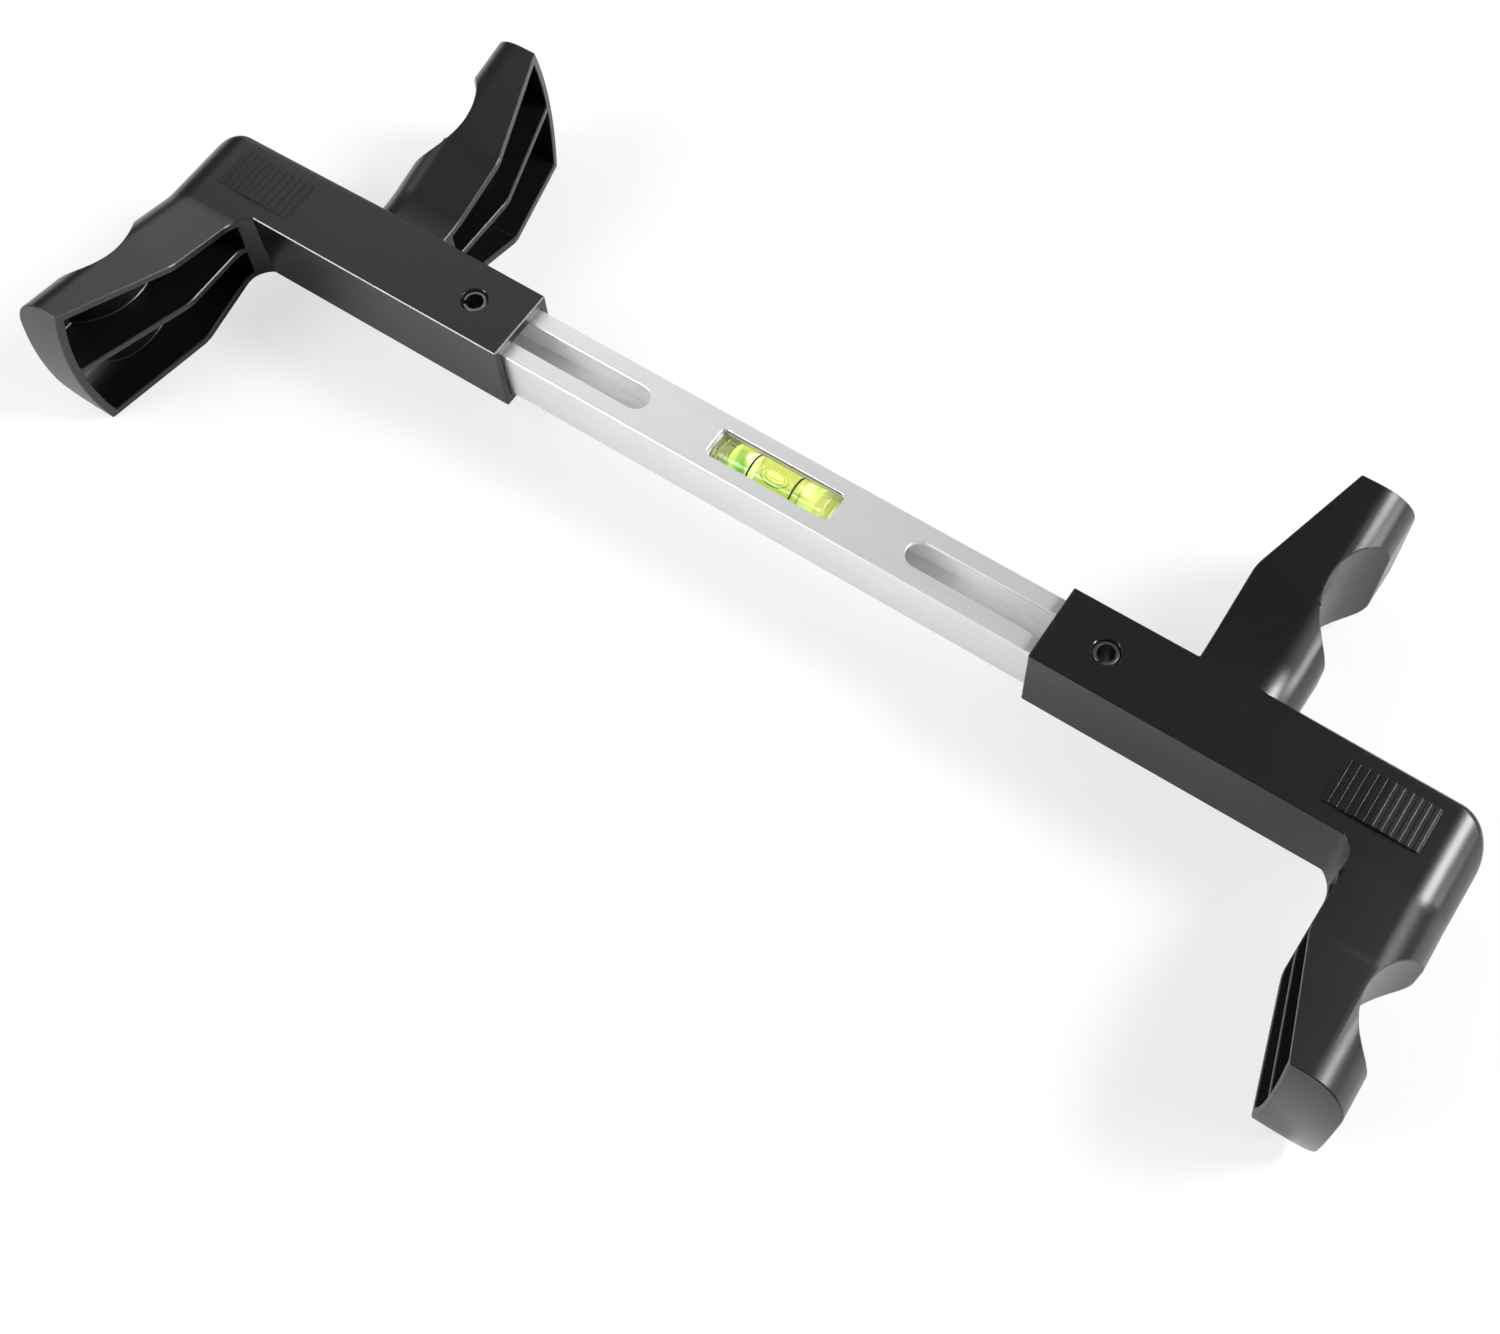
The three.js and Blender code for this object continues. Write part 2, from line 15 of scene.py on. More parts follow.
import bmesh
import bpy
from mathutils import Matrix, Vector


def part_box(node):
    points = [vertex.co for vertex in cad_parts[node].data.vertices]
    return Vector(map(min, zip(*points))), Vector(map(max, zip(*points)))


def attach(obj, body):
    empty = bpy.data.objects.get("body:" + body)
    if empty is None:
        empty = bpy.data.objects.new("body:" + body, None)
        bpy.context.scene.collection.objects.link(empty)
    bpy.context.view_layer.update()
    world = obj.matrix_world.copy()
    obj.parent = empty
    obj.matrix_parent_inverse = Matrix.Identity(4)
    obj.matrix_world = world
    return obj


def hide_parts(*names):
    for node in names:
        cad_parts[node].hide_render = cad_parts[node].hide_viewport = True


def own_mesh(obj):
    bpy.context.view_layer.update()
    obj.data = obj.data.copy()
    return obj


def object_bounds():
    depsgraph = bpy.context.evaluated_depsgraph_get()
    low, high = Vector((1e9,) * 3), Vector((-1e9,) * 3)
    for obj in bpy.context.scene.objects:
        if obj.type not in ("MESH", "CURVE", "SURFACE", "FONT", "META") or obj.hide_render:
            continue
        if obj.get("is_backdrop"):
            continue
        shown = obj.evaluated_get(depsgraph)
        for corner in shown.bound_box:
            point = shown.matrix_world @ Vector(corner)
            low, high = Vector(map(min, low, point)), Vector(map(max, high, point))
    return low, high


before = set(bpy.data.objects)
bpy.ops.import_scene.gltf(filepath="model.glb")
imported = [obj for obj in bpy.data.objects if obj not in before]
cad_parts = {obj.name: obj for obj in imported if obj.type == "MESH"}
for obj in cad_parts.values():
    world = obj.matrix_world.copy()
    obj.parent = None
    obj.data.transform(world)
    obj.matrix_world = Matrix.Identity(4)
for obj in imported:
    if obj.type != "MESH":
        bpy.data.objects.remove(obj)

bpy.ops.object.select_all(action="DESELECT")
working_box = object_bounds()
mm = 0.001

# %% [markdown]
# ## Camera
# The photograph looks down at the bar from the front right. A camera could be placed by eye, but
# its place here was worked out from the bar's straight edges, so every piece falls where the
# photograph shows it. It comes first, because it is what each later step is judged by.

# %% Place the camera
camera_data = bpy.data.cameras.new("camera")
camera_data.sensor_width = 36
camera_data.lens = 49.39
camera = bpy.data.objects.new("camera", camera_data)
camera.location = (190.4 * mm, -251.1 * mm, 529.2 * mm)
camera.rotation_euler = [math.radians(angle) for angle in (25.849, 2.614, 34.177)]
bpy.context.collection.objects.link(camera)
bpy.context.scene.camera = camera
print(f"camera: {camera.location.length / mm:.0f} mm from the bar's middle")

# %% [markdown]
# ## Tools for modelling
# These are the moves that are made by hand in Blender: add a block or a rod at its size and place,
# pick some edges or faces, and cut one shape out of another. An operator acts on all that is
# selected, so each helper first makes sure that only its own piece is.


# %% Helpers: pieces
def only(piece):
    bpy.ops.object.select_all(action="DESELECT")
    piece.select_set(True)
    bpy.context.view_layer.objects.active = piece


def add(name, primitive, scale=(1, 1, 1), **settings):
    """Adds a primitive. Its place goes into its mesh, and its object stays at the origin."""
    bpy.ops.object.select_all(action="DESELECT")
    primitive(**settings)
    piece = bpy.context.object
    piece.scale = scale
    only(piece)
    bpy.ops.object.transform_apply(location=True, rotation=True, scale=True)
    piece.name = piece.data.name = name
    return piece


def block(name, low, high):
    low, high = Vector(low), Vector(high)
    return add(name, bpy.ops.mesh.primitive_cube_add, high - low, size=1, location=(low + high) / 2)


def rod(name, axis, centre, radius, length, sides=96):
    return add(name, bpy.ops.mesh.primitive_cylinder_add, vertices=sides, radius=radius,
               depth=length, location=centre, rotation=(0, math.pi / 2 if axis == "X" else 0, 0))


def copy_of(piece, name):
    twin = piece.copy()
    twin.data = piece.data.copy()
    twin.name = twin.data.name = name
    bpy.context.collection.objects.link(twin)
    return twin


# %% Helpers: places
def near(a, b):
    return abs(a - b) < 0.02 * mm


def lies_at(element, axis, place):
    """Whether all points of an edge or a face lie at one place along an axis."""
    return all(near(getattr(vertex.co, axis), place) for vertex in element.verts)


def runs_along(edge, axis):
    """Whether an edge's two ends lie at different places along an axis."""
    first, last = (getattr(vertex.co, axis) for vertex in edge.verts)
    return not near(first, last)


def looks(face, axis, way):
    """Whether a face looks along an axis, forward for a way of 1 and backward for -1."""
    return getattr(face.normal, axis) * way > 0.9


# %% Helpers: edit mode
def pick(piece, kind, wanted=lambda element: True):
    """Goes into edit mode with just the wanted vertices, edges or faces selected."""
    only(piece)
    bpy.ops.object.mode_set(mode="EDIT")
    bpy.ops.mesh.select_mode(type=kind)
    bpy.ops.mesh.select_all(action="DESELECT")
    mesh = bmesh.from_edit_mesh(piece.data)
    for element in {"VERT": mesh.verts, "EDGE": mesh.edges, "FACE": mesh.faces}[kind]:
        if wanted(element):
            element.select_set(True)
    mesh.select_flush_mode()
    bmesh.update_edit_mesh(piece.data)


def done():
    bpy.ops.object.mode_set(mode="OBJECT")


def extrude(*by):
    """Extrudes what is picked, which stays picked."""
    bpy.ops.mesh.extrude_region_move(TRANSFORM_OT_translate={"value": by})


def move(piece, wanted, by):
    pick(piece, "VERT", wanted)
    bpy.ops.transform.translate(value=by)
    done()


def turn(piece, axis, angle=math.pi):
    """Turns a whole piece about one of the model's axes, half round where no angle is given."""
    pick(piece, "VERT")
    bpy.ops.transform.rotate(value=angle, orient_axis=axis, center_override=(0, 0, 0))
    done()


def both_ends(right, name, axis):
    """Names the piece for the right-hand end, and turns a copy of it round for the left one."""
    left = copy_of(right, f"left_{name}")
    turn(left, axis)
    right.name = right.data.name = f"right_{name}"
    return (right, "right", 1), (left, "left", -1)


def slice_across(piece, point, normal, **settings):
    pick(piece, "FACE")
    bpy.ops.mesh.bisect(plane_co=point, plane_no=normal, **settings)
    done()


def round_edges(piece, wanted, radius, segments):
    pick(piece, "EDGE", wanted)
    bpy.ops.mesh.bevel(offset=radius, segments=segments, profile=0.5, affect="EDGES",
                       clamp_overlap=False)
    done()


def tidy_flats(piece, closer_than=0.002 * mm):
    """Merges points that fell together and drops edges that run across flat faces."""
    pick(piece, "VERT")
    bpy.ops.mesh.remove_doubles(threshold=closer_than)
    bpy.ops.mesh.dissolve_limited(angle_limit=math.radians(0.6), delimit={"NORMAL"})
    done()


# %% Helpers: modifiers
def modify(piece, kind, **settings):
    """Gives a piece a modifier and applies it at once."""
    only(piece)
    modifier = piece.modifiers.new(kind, kind)
    for setting, value in settings.items():
        setattr(modifier, setting, value)
    bpy.ops.object.modifier_apply(modifier=modifier.name)


def combine(how, piece, *others):
    """Cuts with, joins or intersects with each of the other shapes, which are used up."""
    for other in others:
        modify(piece, "BOOLEAN", operation=how, object=other, solver="EXACT")
        bpy.data.objects.remove(other)
    return piece


def cut(piece, *others):
    return combine("DIFFERENCE", piece, *others)


def join(piece, *others):
    return combine("UNION", piece, *others)


def soften(piece, width, segments=2, clamped=True):
    """Breaks the sharp edges with a small rounding."""
    modify(piece, "BEVEL", width=width, segments=segments, limit_method="ANGLE",
           angle_limit=math.radians(30), use_clamp_overlap=clamped)


def smooth_shading(piece, angle):
    """Smooths the shading, and lets the large flat faces rule the normals round them."""
    only(piece)
    bpy.ops.object.shade_smooth_by_angle(angle=math.radians(angle))
    modify(piece, "WEIGHTED_NORMAL", keep_sharp=True)


# %% Helpers: what a finished piece gets
def mark_edges(piece, narrower_than):
    """Marks the narrow faces along the broken edges, so that a finish can wear them."""
    mesh = piece.data
    mark = mesh.attributes.new("edge", "FLOAT", "FACE")
    lengths = [(mesh.vertices[a].co - mesh.vertices[b].co).length
               for a, b in (edge.vertices for edge in mesh.edges)]
    marked = 0
    for face in mesh.polygons:
        around = sum(lengths[mesh.loops[loop].edge_index] for loop in face.loop_indices)
        if 2 * face.area < narrower_than * around:
            mark.data[face.index].value = 1
            marked += 1
    print(f"{piece.name}: {marked} faces marked as edges")


def give_finish(piece, material):
    piece.data.materials.clear()
    piece.data.materials.append(material)


def finish_piece(piece, material, body, slot, *nodes, smooth_under=40):
    smooth_shading(piece, smooth_under)
    give_finish(piece, material)
    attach(piece, body)
    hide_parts(*nodes)
    print(f"{piece.name}: {len(piece.data.polygons)} faces, rides on {body}")


# %% [markdown]
# ## Surface effects that several finishes share
# Grain and worn edges turn up in more than one finish, so each is built once as a node group with
# named inputs. A group gives out only values and normals. The shader stays in the material. Worn
# edges could be found by a bevel node, but it blurs edges as fine as these. So each piece carries a
# mark on the narrow faces along its broken edges, and the group reads the mark.


# %% Helpers: nodes
def node(tree, kind, links=None, **settings):
    """Adds a node, sets what is named, and links or sets its inputs."""
    made = tree.nodes.new(kind)
    for setting, value in settings.items():
        setattr(made, setting, value)
    for socket, value in (links or {}).items():
        if isinstance(value, bpy.types.NodeSocket):
            tree.links.new(value, made.inputs[socket])
        else:
            made.inputs[socket].default_value = value
    return made


def place_on(tree):
    """Where a point lies in its piece's own coordinates, so that a pattern moves with the piece."""
    return node(tree, "ShaderNodeTexCoord").outputs["Object"]


def split(tree, vector):
    return node(tree, "ShaderNodeSeparateXYZ", {0: vector}).outputs


def maths(tree, operation, *values, **settings):
    return node(tree, "ShaderNodeMath", dict(enumerate(values)), operation=operation,
                **settings).outputs[0]


def vector_maths(tree, operation, *values, result=0):
    return node(tree, "ShaderNodeVectorMath", dict(enumerate(values)),
                operation=operation).outputs[result]


def noise(tree, place, scale, detail, roughness=0.5):
    return node(tree, "ShaderNodeTexNoise", {"Vector": place, "Scale": scale, "Detail": detail,
                                             "Roughness": roughness}).outputs["Fac"]


def ramp(tree, value, low=0, high=1, first=0, last=1, shape="LINEAR"):
    """Goes from its first to its last value while its input goes from low to high."""
    return node(tree, "ShaderNodeMapRange", {
        "Value": value, "From Min": low, "From Max": high, "To Min": first, "To Max": last},
        interpolation_type=shape).outputs[0]


mix_colours_in, mix_colour_out = (6, 7), 2  # the Mix node has other sockets by the same names


def mixed(tree, share, first, second):
    """A mix of two colours, each of which is a socket or three numbers."""
    colours = {socket: colour if isinstance(colour, bpy.types.NodeSocket) else (*colour, 1)
               for socket, colour in zip(mix_colours_in, (first, second))}
    return node(tree, "ShaderNodeMix", {"Factor": share, **colours},
                data_type="RGBA").outputs[mix_colour_out]


# %% Helpers: a node group
def new_group(name, inputs, outputs):
    """An empty group, with the sockets that it is given and those that it fills."""
    group = bpy.data.node_groups.new(name, "ShaderNodeTree")
    for socket, value in inputs.items():
        made = group.interface.new_socket(socket, in_out="INPUT", socket_type="NodeSocketFloat")
        made.default_value = value
    for socket, kind in outputs.items():
        group.interface.new_socket(socket, in_out="OUTPUT", socket_type=kind)
    print("group:", name)
    given, result = group.nodes.new("NodeGroupInput"), group.nodes.new("NodeGroupOutput")
    return group, given.outputs, result.inputs


def gloss_and_bump(group, given, result, slow, fine, depth):
    """Fills a group's roughness from a slow noise, and its normal from a fine one."""
    change = maths(group, "SUBTRACT", slow, 0.5)
    gloss = maths(group, "MULTIPLY_ADD", change, given["Gloss change"], given["Gloss"])
    bump = node(group, "ShaderNodeBump", {"Height": fine, "Distance": depth, "Strength": 1})
    group.links.new(gloss, result["Roughness"])
    group.links.new(bump.outputs[0], result["Normal"])


# %% Node group: grain
def grain_group():
    """A moulded or blasted surface: fine bumps, and a slow change of gloss from place to place."""
    group, given, result = new_group(
        "moulded grain",
        {"Grain per metre": 2500, "Grain depth": 0.02 * mm, "Gloss": 0.4, "Gloss change": 0.06},
        {"Roughness": "NodeSocketFloat", "Normal": "NodeSocketVector"})
    place = place_on(group)
    fine = noise(group, place, given["Grain per metre"], 2, 0.6)
    slow = noise(group, place, 60, 3)
    gloss_and_bump(group, given, result, slow, fine, given["Grain depth"])
    return group


grain = grain_group()


# %% Node group: drawn lines
def drawn_lines_group():
    """The faint lines that a die leaves along a drawn bar, and a slow change of tone."""
    group, given, result = new_group(
        "drawn lines",
        {"Line depth": 0.004 * mm, "Gloss": 0.3, "Gloss change": 0.08},
        {"Roughness": "NodeSocketFloat", "Normal": "NodeSocketVector", "Tone": "NodeSocketFloat"})
    drawn_out = node(group, "ShaderNodeMapping", {"Vector": place_on(group), "Scale": (0.03, 1, 1)})
    along = drawn_out.outputs[0]
    fine = noise(group, along, 2600, 3, 0.65)
    tone = noise(group, along, 350, 2)
    gloss_and_bump(group, given, result, tone, fine, given["Line depth"])
    group.links.new(tone, result["Tone"])
    return group


drawn_lines = drawn_lines_group()


# %% Node group: worn edges
def edge_wear_group():
    """How far a point is worn: along the broken edges, which carry a mark, broken up by noise."""
    group, given, result = new_group(
        "edge wear", {"Wear": 1.0, "Broken up": 0.5}, {"Mask": "NodeSocketFloat"})
    edge = node(group, "ShaderNodeAttribute", attribute_name="edge", attribute_type="GEOMETRY")
    patches = noise(group, place_on(group), 300, 4)
    kept = ramp(group, patches, 0.35, 0.65, given["Broken up"], 1)
    both = maths(group, "MULTIPLY", edge.outputs["Fac"], kept)
    worn = maths(group, "MULTIPLY", both, given["Wear"], use_clamp=True)
    group.links.new(worn, result["Mask"])
    return group


edge_wear = edge_wear_group()

# %% [markdown]
# ## Finishes
# One material for each finish on the real tool. The constant numbers sit on the shader's own
# sockets, and only what changes over the surface comes from the groups above.


# %% Helpers: a material with its shader
def new_finish(name, **constants):
    material = bpy.data.materials.new(name)
    material.use_nodes = True
    tree = material.node_tree
    shader = tree.nodes["Principled BSDF"]
    for socket, value in constants.items():
        shader.inputs[socket.replace("_", " ")].default_value = value
    print("finish:", name)
    return material, tree, shader


def use_group(tree, group, **values):
    placed = tree.nodes.new("ShaderNodeGroup")
    placed.node_tree = group
    for socket, value in values.items():
        placed.inputs[socket.replace("_", " ")].default_value = value
    return placed.outputs


def feed(tree, shader, **sockets):
    for name, socket in sockets.items():
        tree.links.new(socket, shader.inputs[name.replace("_", " ")])


def distances(tree):
    """How far a point lies from the tool's middle along each axis."""
    return split(tree, vector_maths(tree, "ABSOLUTE", place_on(tree)))


def only_within(tree, mask, away, limits):
    """Keeps a mask only where the distances are under their limits."""
    for axis, limit in limits.items():
        mask = maths(tree, "MULTIPLY", mask, maths(tree, "LESS_THAN", away[axis], limit))
    return mask


# %% [markdown]
# ### Black moulding
# The brackets are glass-filled nylon. What the eye reads on near black is its shine, so the colour
# is almost plain, a fine grain spreads each highlight, and the edges are scuffed a little paler.
# Hands rub the sockets' edges smooth as well, which sharpens the light on them.

# %% Finish: black moulding
deep_black, scuffed_black = (0.0045, 0.0045, 0.0048), (0.016, 0.016, 0.017)
rubbed_smoother = 0.19
just_past_socket = {"Y": 13.2 * mm, "Z": 14.2 * mm}


def black_moulding():
    material, tree, shader = new_finish("black_moulding", Metallic=0)
    surface = use_group(tree, grain, Grain_per_metre=2200, Grain_depth=0.016 * mm, Gloss=0.31,
                        Gloss_change=0.04)
    wear = use_group(tree, edge_wear, Wear=1, Broken_up=0.7)["Mask"]
    handled = only_within(tree, wear, distances(tree), just_past_socket)
    feed(tree, shader, Base_Color=mixed(tree, wear, deep_black, scuffed_black),
         Roughness=maths(tree, "MULTIPLY_ADD", handled, -rubbed_smoother, surface["Roughness"]),
         Normal=surface["Normal"])
    return material


black = black_moulding()

# %% [markdown]
# ### Satin aluminium
# The bar was drawn through a die and anodised, which leaves faint lines along it. A metal with a
# blurred reflection suits its outside. Its inside shows through the slots, and a metal would mirror
# the dark walls there, so it gets a dull pale surface instead. The distance from the bar's middle
# line tells the outside from the inside. The walls of the window, found by their place, get a dark
# grey that is not metal: painted shade, for the bar's own shade on them.

# %% Finish: satin aluminium
darker_line, paler_line = (0.80, 0.805, 0.81), (0.83, 0.835, 0.84)
# The last of these, a dark grey, is painted shade for the window's walls.
bare_edge, dull_inside, window_wall_painted_shade = (0.95, 0.95, 0.955), (0.93, 0.93, 0.935), (0.16, 0.16, 0.165)
outside_metal = 0.82
just_past_inside = 8.6 * mm
window_wall_middle, window_wall_half = 9.125 * mm, 0.62 * mm
just_past_window = {"X": 20.5 * mm, "Y": 5.2 * mm}


def satin_aluminium():
    material, tree, shader = new_finish("satin_aluminium")
    surface = use_group(tree, drawn_lines, Line_depth=0.003 * mm, Gloss=0.38, Gloss_change=0.03)
    lines = mixed(tree, ramp(tree, surface["Tone"], 0.3, 0.7), darker_line, paler_line)
    wear = use_group(tree, edge_wear, Wear=1, Broken_up=0.8)["Mask"]
    away = distances(tree)
    farther = maths(tree, "MAXIMUM", away["Y"], away["Z"])
    outside = maths(tree, "GREATER_THAN", farther, just_past_inside)
    height = split(tree, place_on(tree))["Z"]
    # The window's walls, found by their place, get the painted shade and lose their metal.
    window_wall_shaded = only_within(tree, maths(tree, "COMPARE", height, window_wall_middle, window_wall_half),
                         away, just_past_window)
    extruded = mixed(tree, outside, dull_inside, mixed(tree, wear, lines, bare_edge))
    feed(tree, shader, Base_Color=mixed(tree, window_wall_shaded, extruded, window_wall_painted_shade),
         Metallic=ramp(tree, maths(tree, "SUBTRACT", outside, window_wall_shaded), last=outside_metal),
         Roughness=surface["Roughness"], Normal=surface["Normal"])
    return material


aluminium = satin_aluminium()

# %% [markdown]
# ### Steels and inner mouldings
# The pins are blackened and the springs are bright wire, and one function makes both from their
# colours. The plugs and the clip are plain mouldings. A slow change of tone keeps them from looking
# flat.


# %% Finish: steels
def steel(name, colour, edge_colour, gloss):
    material, tree, shader = new_finish(name, Metallic=1)
    surface = use_group(tree, grain, Grain_per_metre=4000, Grain_depth=0.004 * mm, Gloss=gloss,
                        Gloss_change=0.12)
    wear = use_group(tree, edge_wear, Wear=1, Broken_up=0.4)["Mask"]
    feed(tree, shader, Base_Color=mixed(tree, wear, colour, edge_colour),
         Roughness=surface["Roughness"], Normal=surface["Normal"])
    return material


pin_steel = steel("blackened_steel", (0.16, 0.16, 0.165), (0.60, 0.60, 0.61), 0.34)
spring_steel = steel("spring_wire", (0.42, 0.42, 0.43), (0.55, 0.55, 0.56), 0.26)


# %% Finish: plain mouldings inside the bar
def plain_moulding(name, colour, gloss):
    material, tree, shader = new_finish(name, Metallic=0)
    surface = use_group(tree, grain, Grain_per_metre=1800, Grain_depth=0.01 * mm, Gloss=gloss,
                        Gloss_change=0.1)
    darker = tuple(0.85 * share for share in colour)
    feed(tree, shader, Base_Color=mixed(tree, noise(tree, place_on(tree), 120, 3), darker, colour),
         Roughness=surface["Roughness"], Normal=surface["Normal"])
    return material


plug_moulding = plain_moulding("plug_moulding", (0.015, 0.015, 0.016), 0.55)
cradle_moulding = plain_moulding("cradle_moulding", (0.80, 0.80, 0.78), 0.5)

# %% [markdown]
# ### The vial
# The liquid holds a dye that glows in daylight. Tinted glass alone would only darken what lies
# behind it, so the liquid also gives out a little light. Beyond the dye's own glow this light is
# painted: green at the near side, yellow at the far one, and patches of painted light and shade
# where the round tube gathers and bends the light. The caps give out a painted glow as well. The
# bubble is told from the liquid by a painted dark outline, where its side bends the light away, and
# it carries a painted highlight on its flat top. Nothing here is perfectly clear, so each piece is
# a little cloudy.


# %% Helpers: clear finishes
def clear_finish(name, colour, **constants):
    material, tree, shader = new_finish(name, Metallic=0, Transmission_Weight=1, **constants)
    cloud = noise(tree, place_on(tree), 200, 2)
    paler = tuple(min(1, 1.03 * share) for share in colour)
    feed(tree, shader, Base_Color=mixed(tree, cloud, colour, paler),
         Roughness=ramp(tree, cloud, 0.3, 0.7, last=0.03))
    return material, tree, shader


def patch_of_light(tree, place, centre, half_length, half_width, soft):
    """1 inside an oval patch seen from above, sized in millimetres, and 0 past its soft edge."""
    moved = vector_maths(tree, "SUBTRACT", place, (centre[0] * mm, centre[1] * mm, 0))
    share = (1 / (half_length * mm), 1 / (half_width * mm), 0)
    scaled = vector_maths(tree, "MULTIPLY", moved, share)
    distance = vector_maths(tree, "LENGTH", scaled, result="Value")
    return ramp(tree, distance, 1 + soft, 1 - soft, shape="SMOOTHSTEP")


# %% Finish: the vial's acrylic
dark = (0, 0, 0)
# The caps' glow is painted light: clear acrylic that gives out light of its own.
left_cap_painted_glow, right_cap_painted_glow = (0.04, 0.045, 0.01), (0.12, 0.13, 0.035)
between_caps = ((0, 0), 14.2, 30, 0.03)  # its centre, half length, half width and softness


def acrylic_with_painted_glow():
    """Clear, but the caps at its ends give out a painted glow, the right one more than the left."""
    material, tree, shader = clear_finish("clear_acrylic", (0.95, 0.98, 0.84), IOR=1.49,
                                          Specular_IOR_Level=0.1, Emission_Strength=0.5)
    place = place_on(tree)
    clear = patch_of_light(tree, place, *between_caps)
    right = maths(tree, "GREATER_THAN", split(tree, place)["X"], 0)
    caps = mixed(tree, right, left_cap_painted_glow, right_cap_painted_glow)
    feed(tree, shader, Emission_Color=mixed(tree, clear, caps, dark))
    return material


acrylic = acrylic_with_painted_glow()

# %% Finish: the coloured liquid
# The near and far sides' glow and these patches are painted light and shade, put where the round
# tube gathers and bends the light.
near_side_painted_glow, far_side_painted_glow = (0.06, 0.20, 0.03), (0.78, 0.78, 0.26)
liquid_painted_light_patches = (  # each one's centre, half length, half width, softness and glow
    ((-12.2, -0.3), 1.9, 2.9, 0.25, (0.0, 0.40, 0.12)),
    ((-8.8, 1.6), 1.9, 1.9, 0.45, (1.70, 1.70, 1.40)),
    ((-5.2, -3.4), 2.0, 1.3, 0.4, (0.0, 0.22, 0.10)),
    ((10.8, 1.4), 2.2, 2.2, 0.5, (1.45, 1.50, 0.85)),
    ((11.0, -1.5), 3.0, 0.35, 0.5, (0.0, 0.16, 0.02)))


def liquid_with_painted_glow():
    material, tree, shader = clear_finish("yellow_green_liquid", (0.58, 0.70, 0.24), IOR=1.36,
                                          Specular_IOR_Level=0.1, Emission_Strength=0.44)
    place = place_on(tree)
    # Painted light: yellow towards the far side, green at the near one, then the painted patches on
    # top.
    painted_far_side = ramp(tree, split(tree, place)["Y"], -2.0 * mm, -0.8 * mm, shape="SMOOTHSTEP")
    glow = mixed(tree, painted_far_side, near_side_painted_glow, far_side_painted_glow)
    for *patch, painted_patch_glow in liquid_painted_light_patches:
        glow = mixed(tree, patch_of_light(tree, place, *patch), glow, painted_patch_glow)
    feed(tree, shader, Emission_Color=glow)
    return material


green_liquid = liquid_with_painted_glow()

# %% Finish: the bubble
# The bubble's dark outline and dark line are painted shade, and its pale glowing top is a painted
# highlight.
clear_air, painted_dark_outline = (1.0, 1.0, 0.9), (0.12, 0.17, 0.02)
bubble_painted_light_and_shade = (  # each one's centre, half length, half width, softness, colour and glow
    ((0, 0), 4.5, 2.25, 0.03, clear_air, (0.12, 0.14, 0.01)),
    ((0, 0.35), 3.3, 1.25, 0.04, painted_dark_outline, dark),
    ((0, 0.4), 3.0, 1.0, 0.05, clear_air, (0.80, 0.80, 0.42)))


def bubble_finish():
    """A painted dark outline, a pale inside with a faint painted glow, and on it a painted
    highlight: a pale flat top with a painted dark line round it.
    """
    material, tree, shader = clear_finish("bubble_air", clear_air, IOR=1.12, Emission_Strength=0.5)
    place = place_on(tree)
    colour, glow = (0.03, 0.06, 0.01), dark
    for *patch, patch_colour, painted_patch_glow in bubble_painted_light_and_shade:
        inside = patch_of_light(tree, place, *patch)
        colour = mixed(tree, inside, colour, patch_colour)
        glow = mixed(tree, inside, glow, painted_patch_glow)
    feed(tree, shader, Base_Color=colour, Emission_Color=glow)
    return material


bubble_air = bubble_finish()


# %% Finish: the vial's painted lines
def ring_paint_finish():
    material, tree, shader = new_finish("ring_paint", Metallic=0, Roughness=0.45)
    worn = noise(tree, place_on(tree), 900, 2)
    feed(tree, shader, Base_Color=mixed(tree, worn, (0.004, 0.004, 0.004), (0.012, 0.012, 0.012)))
    return material


ring_paint = ring_paint_finish()

# %% [markdown]
# ## The bracket's sizes
# Both ends of the tool are one moulding, turned over end for end, so only the right one is
# modelled. Its outside sizes are read from the working model, and the rest are the sizes that it
# was drawn with. The socket's mouth faces the middle of the bar, and its outer end has the
# long-span arm.

# %% Sizes of the bracket
bracket_low, bracket_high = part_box("right_bracket")
bar_low, bar_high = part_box("bar")
mouth, outer_face = bracket_low.x, bracket_high.x
arm_reach, tip_half_height = bracket_high.y, bracket_high.z
bar_half = bar_high.z

fit_gap = 0.3 * mm
cavity_half = bar_half + fit_gap
socket_half_width = cavity_half + 2.45 * mm
socket_half_height = cavity_half + 3.7 * mm
outer_radius = 12.5 * mm
arm_depth = 30 * mm
long_arm_face = outer_face - arm_depth
short_arm_face = long_arm_face - 61.5 * mm
crease_reach = 18.5 * mm
kink_reach, kink_half_height = 43 * mm, 20.3 * mm
tip_bulge = 3.7 * mm
tip_reach = arm_reach - tip_bulge
overrun = 2 * mm  # how far a shape goes past the face that it cuts or joins
print(f"bracket: {(outer_face - mouth) / mm:.1f} x {2 * arm_reach / mm:.1f} mm")

# %% [markdown]
# ## The socket's outside
# The socket is a square sleeve whose outer end turns in with a large rounding, on the top, on the
# underside and at the back. Three separate bevels would meet in a round ball at the corner, but the
# moulding has a mitred corner there. So the end is extruded in small steps, each scaled in a little
# more. The back edges are first rounded, and then pinched to a point where the short-span arm will
# stand.

# %% Round the socket's back edges and its end
back_edge_radius = 2.6 * mm
rounding_steps = 12


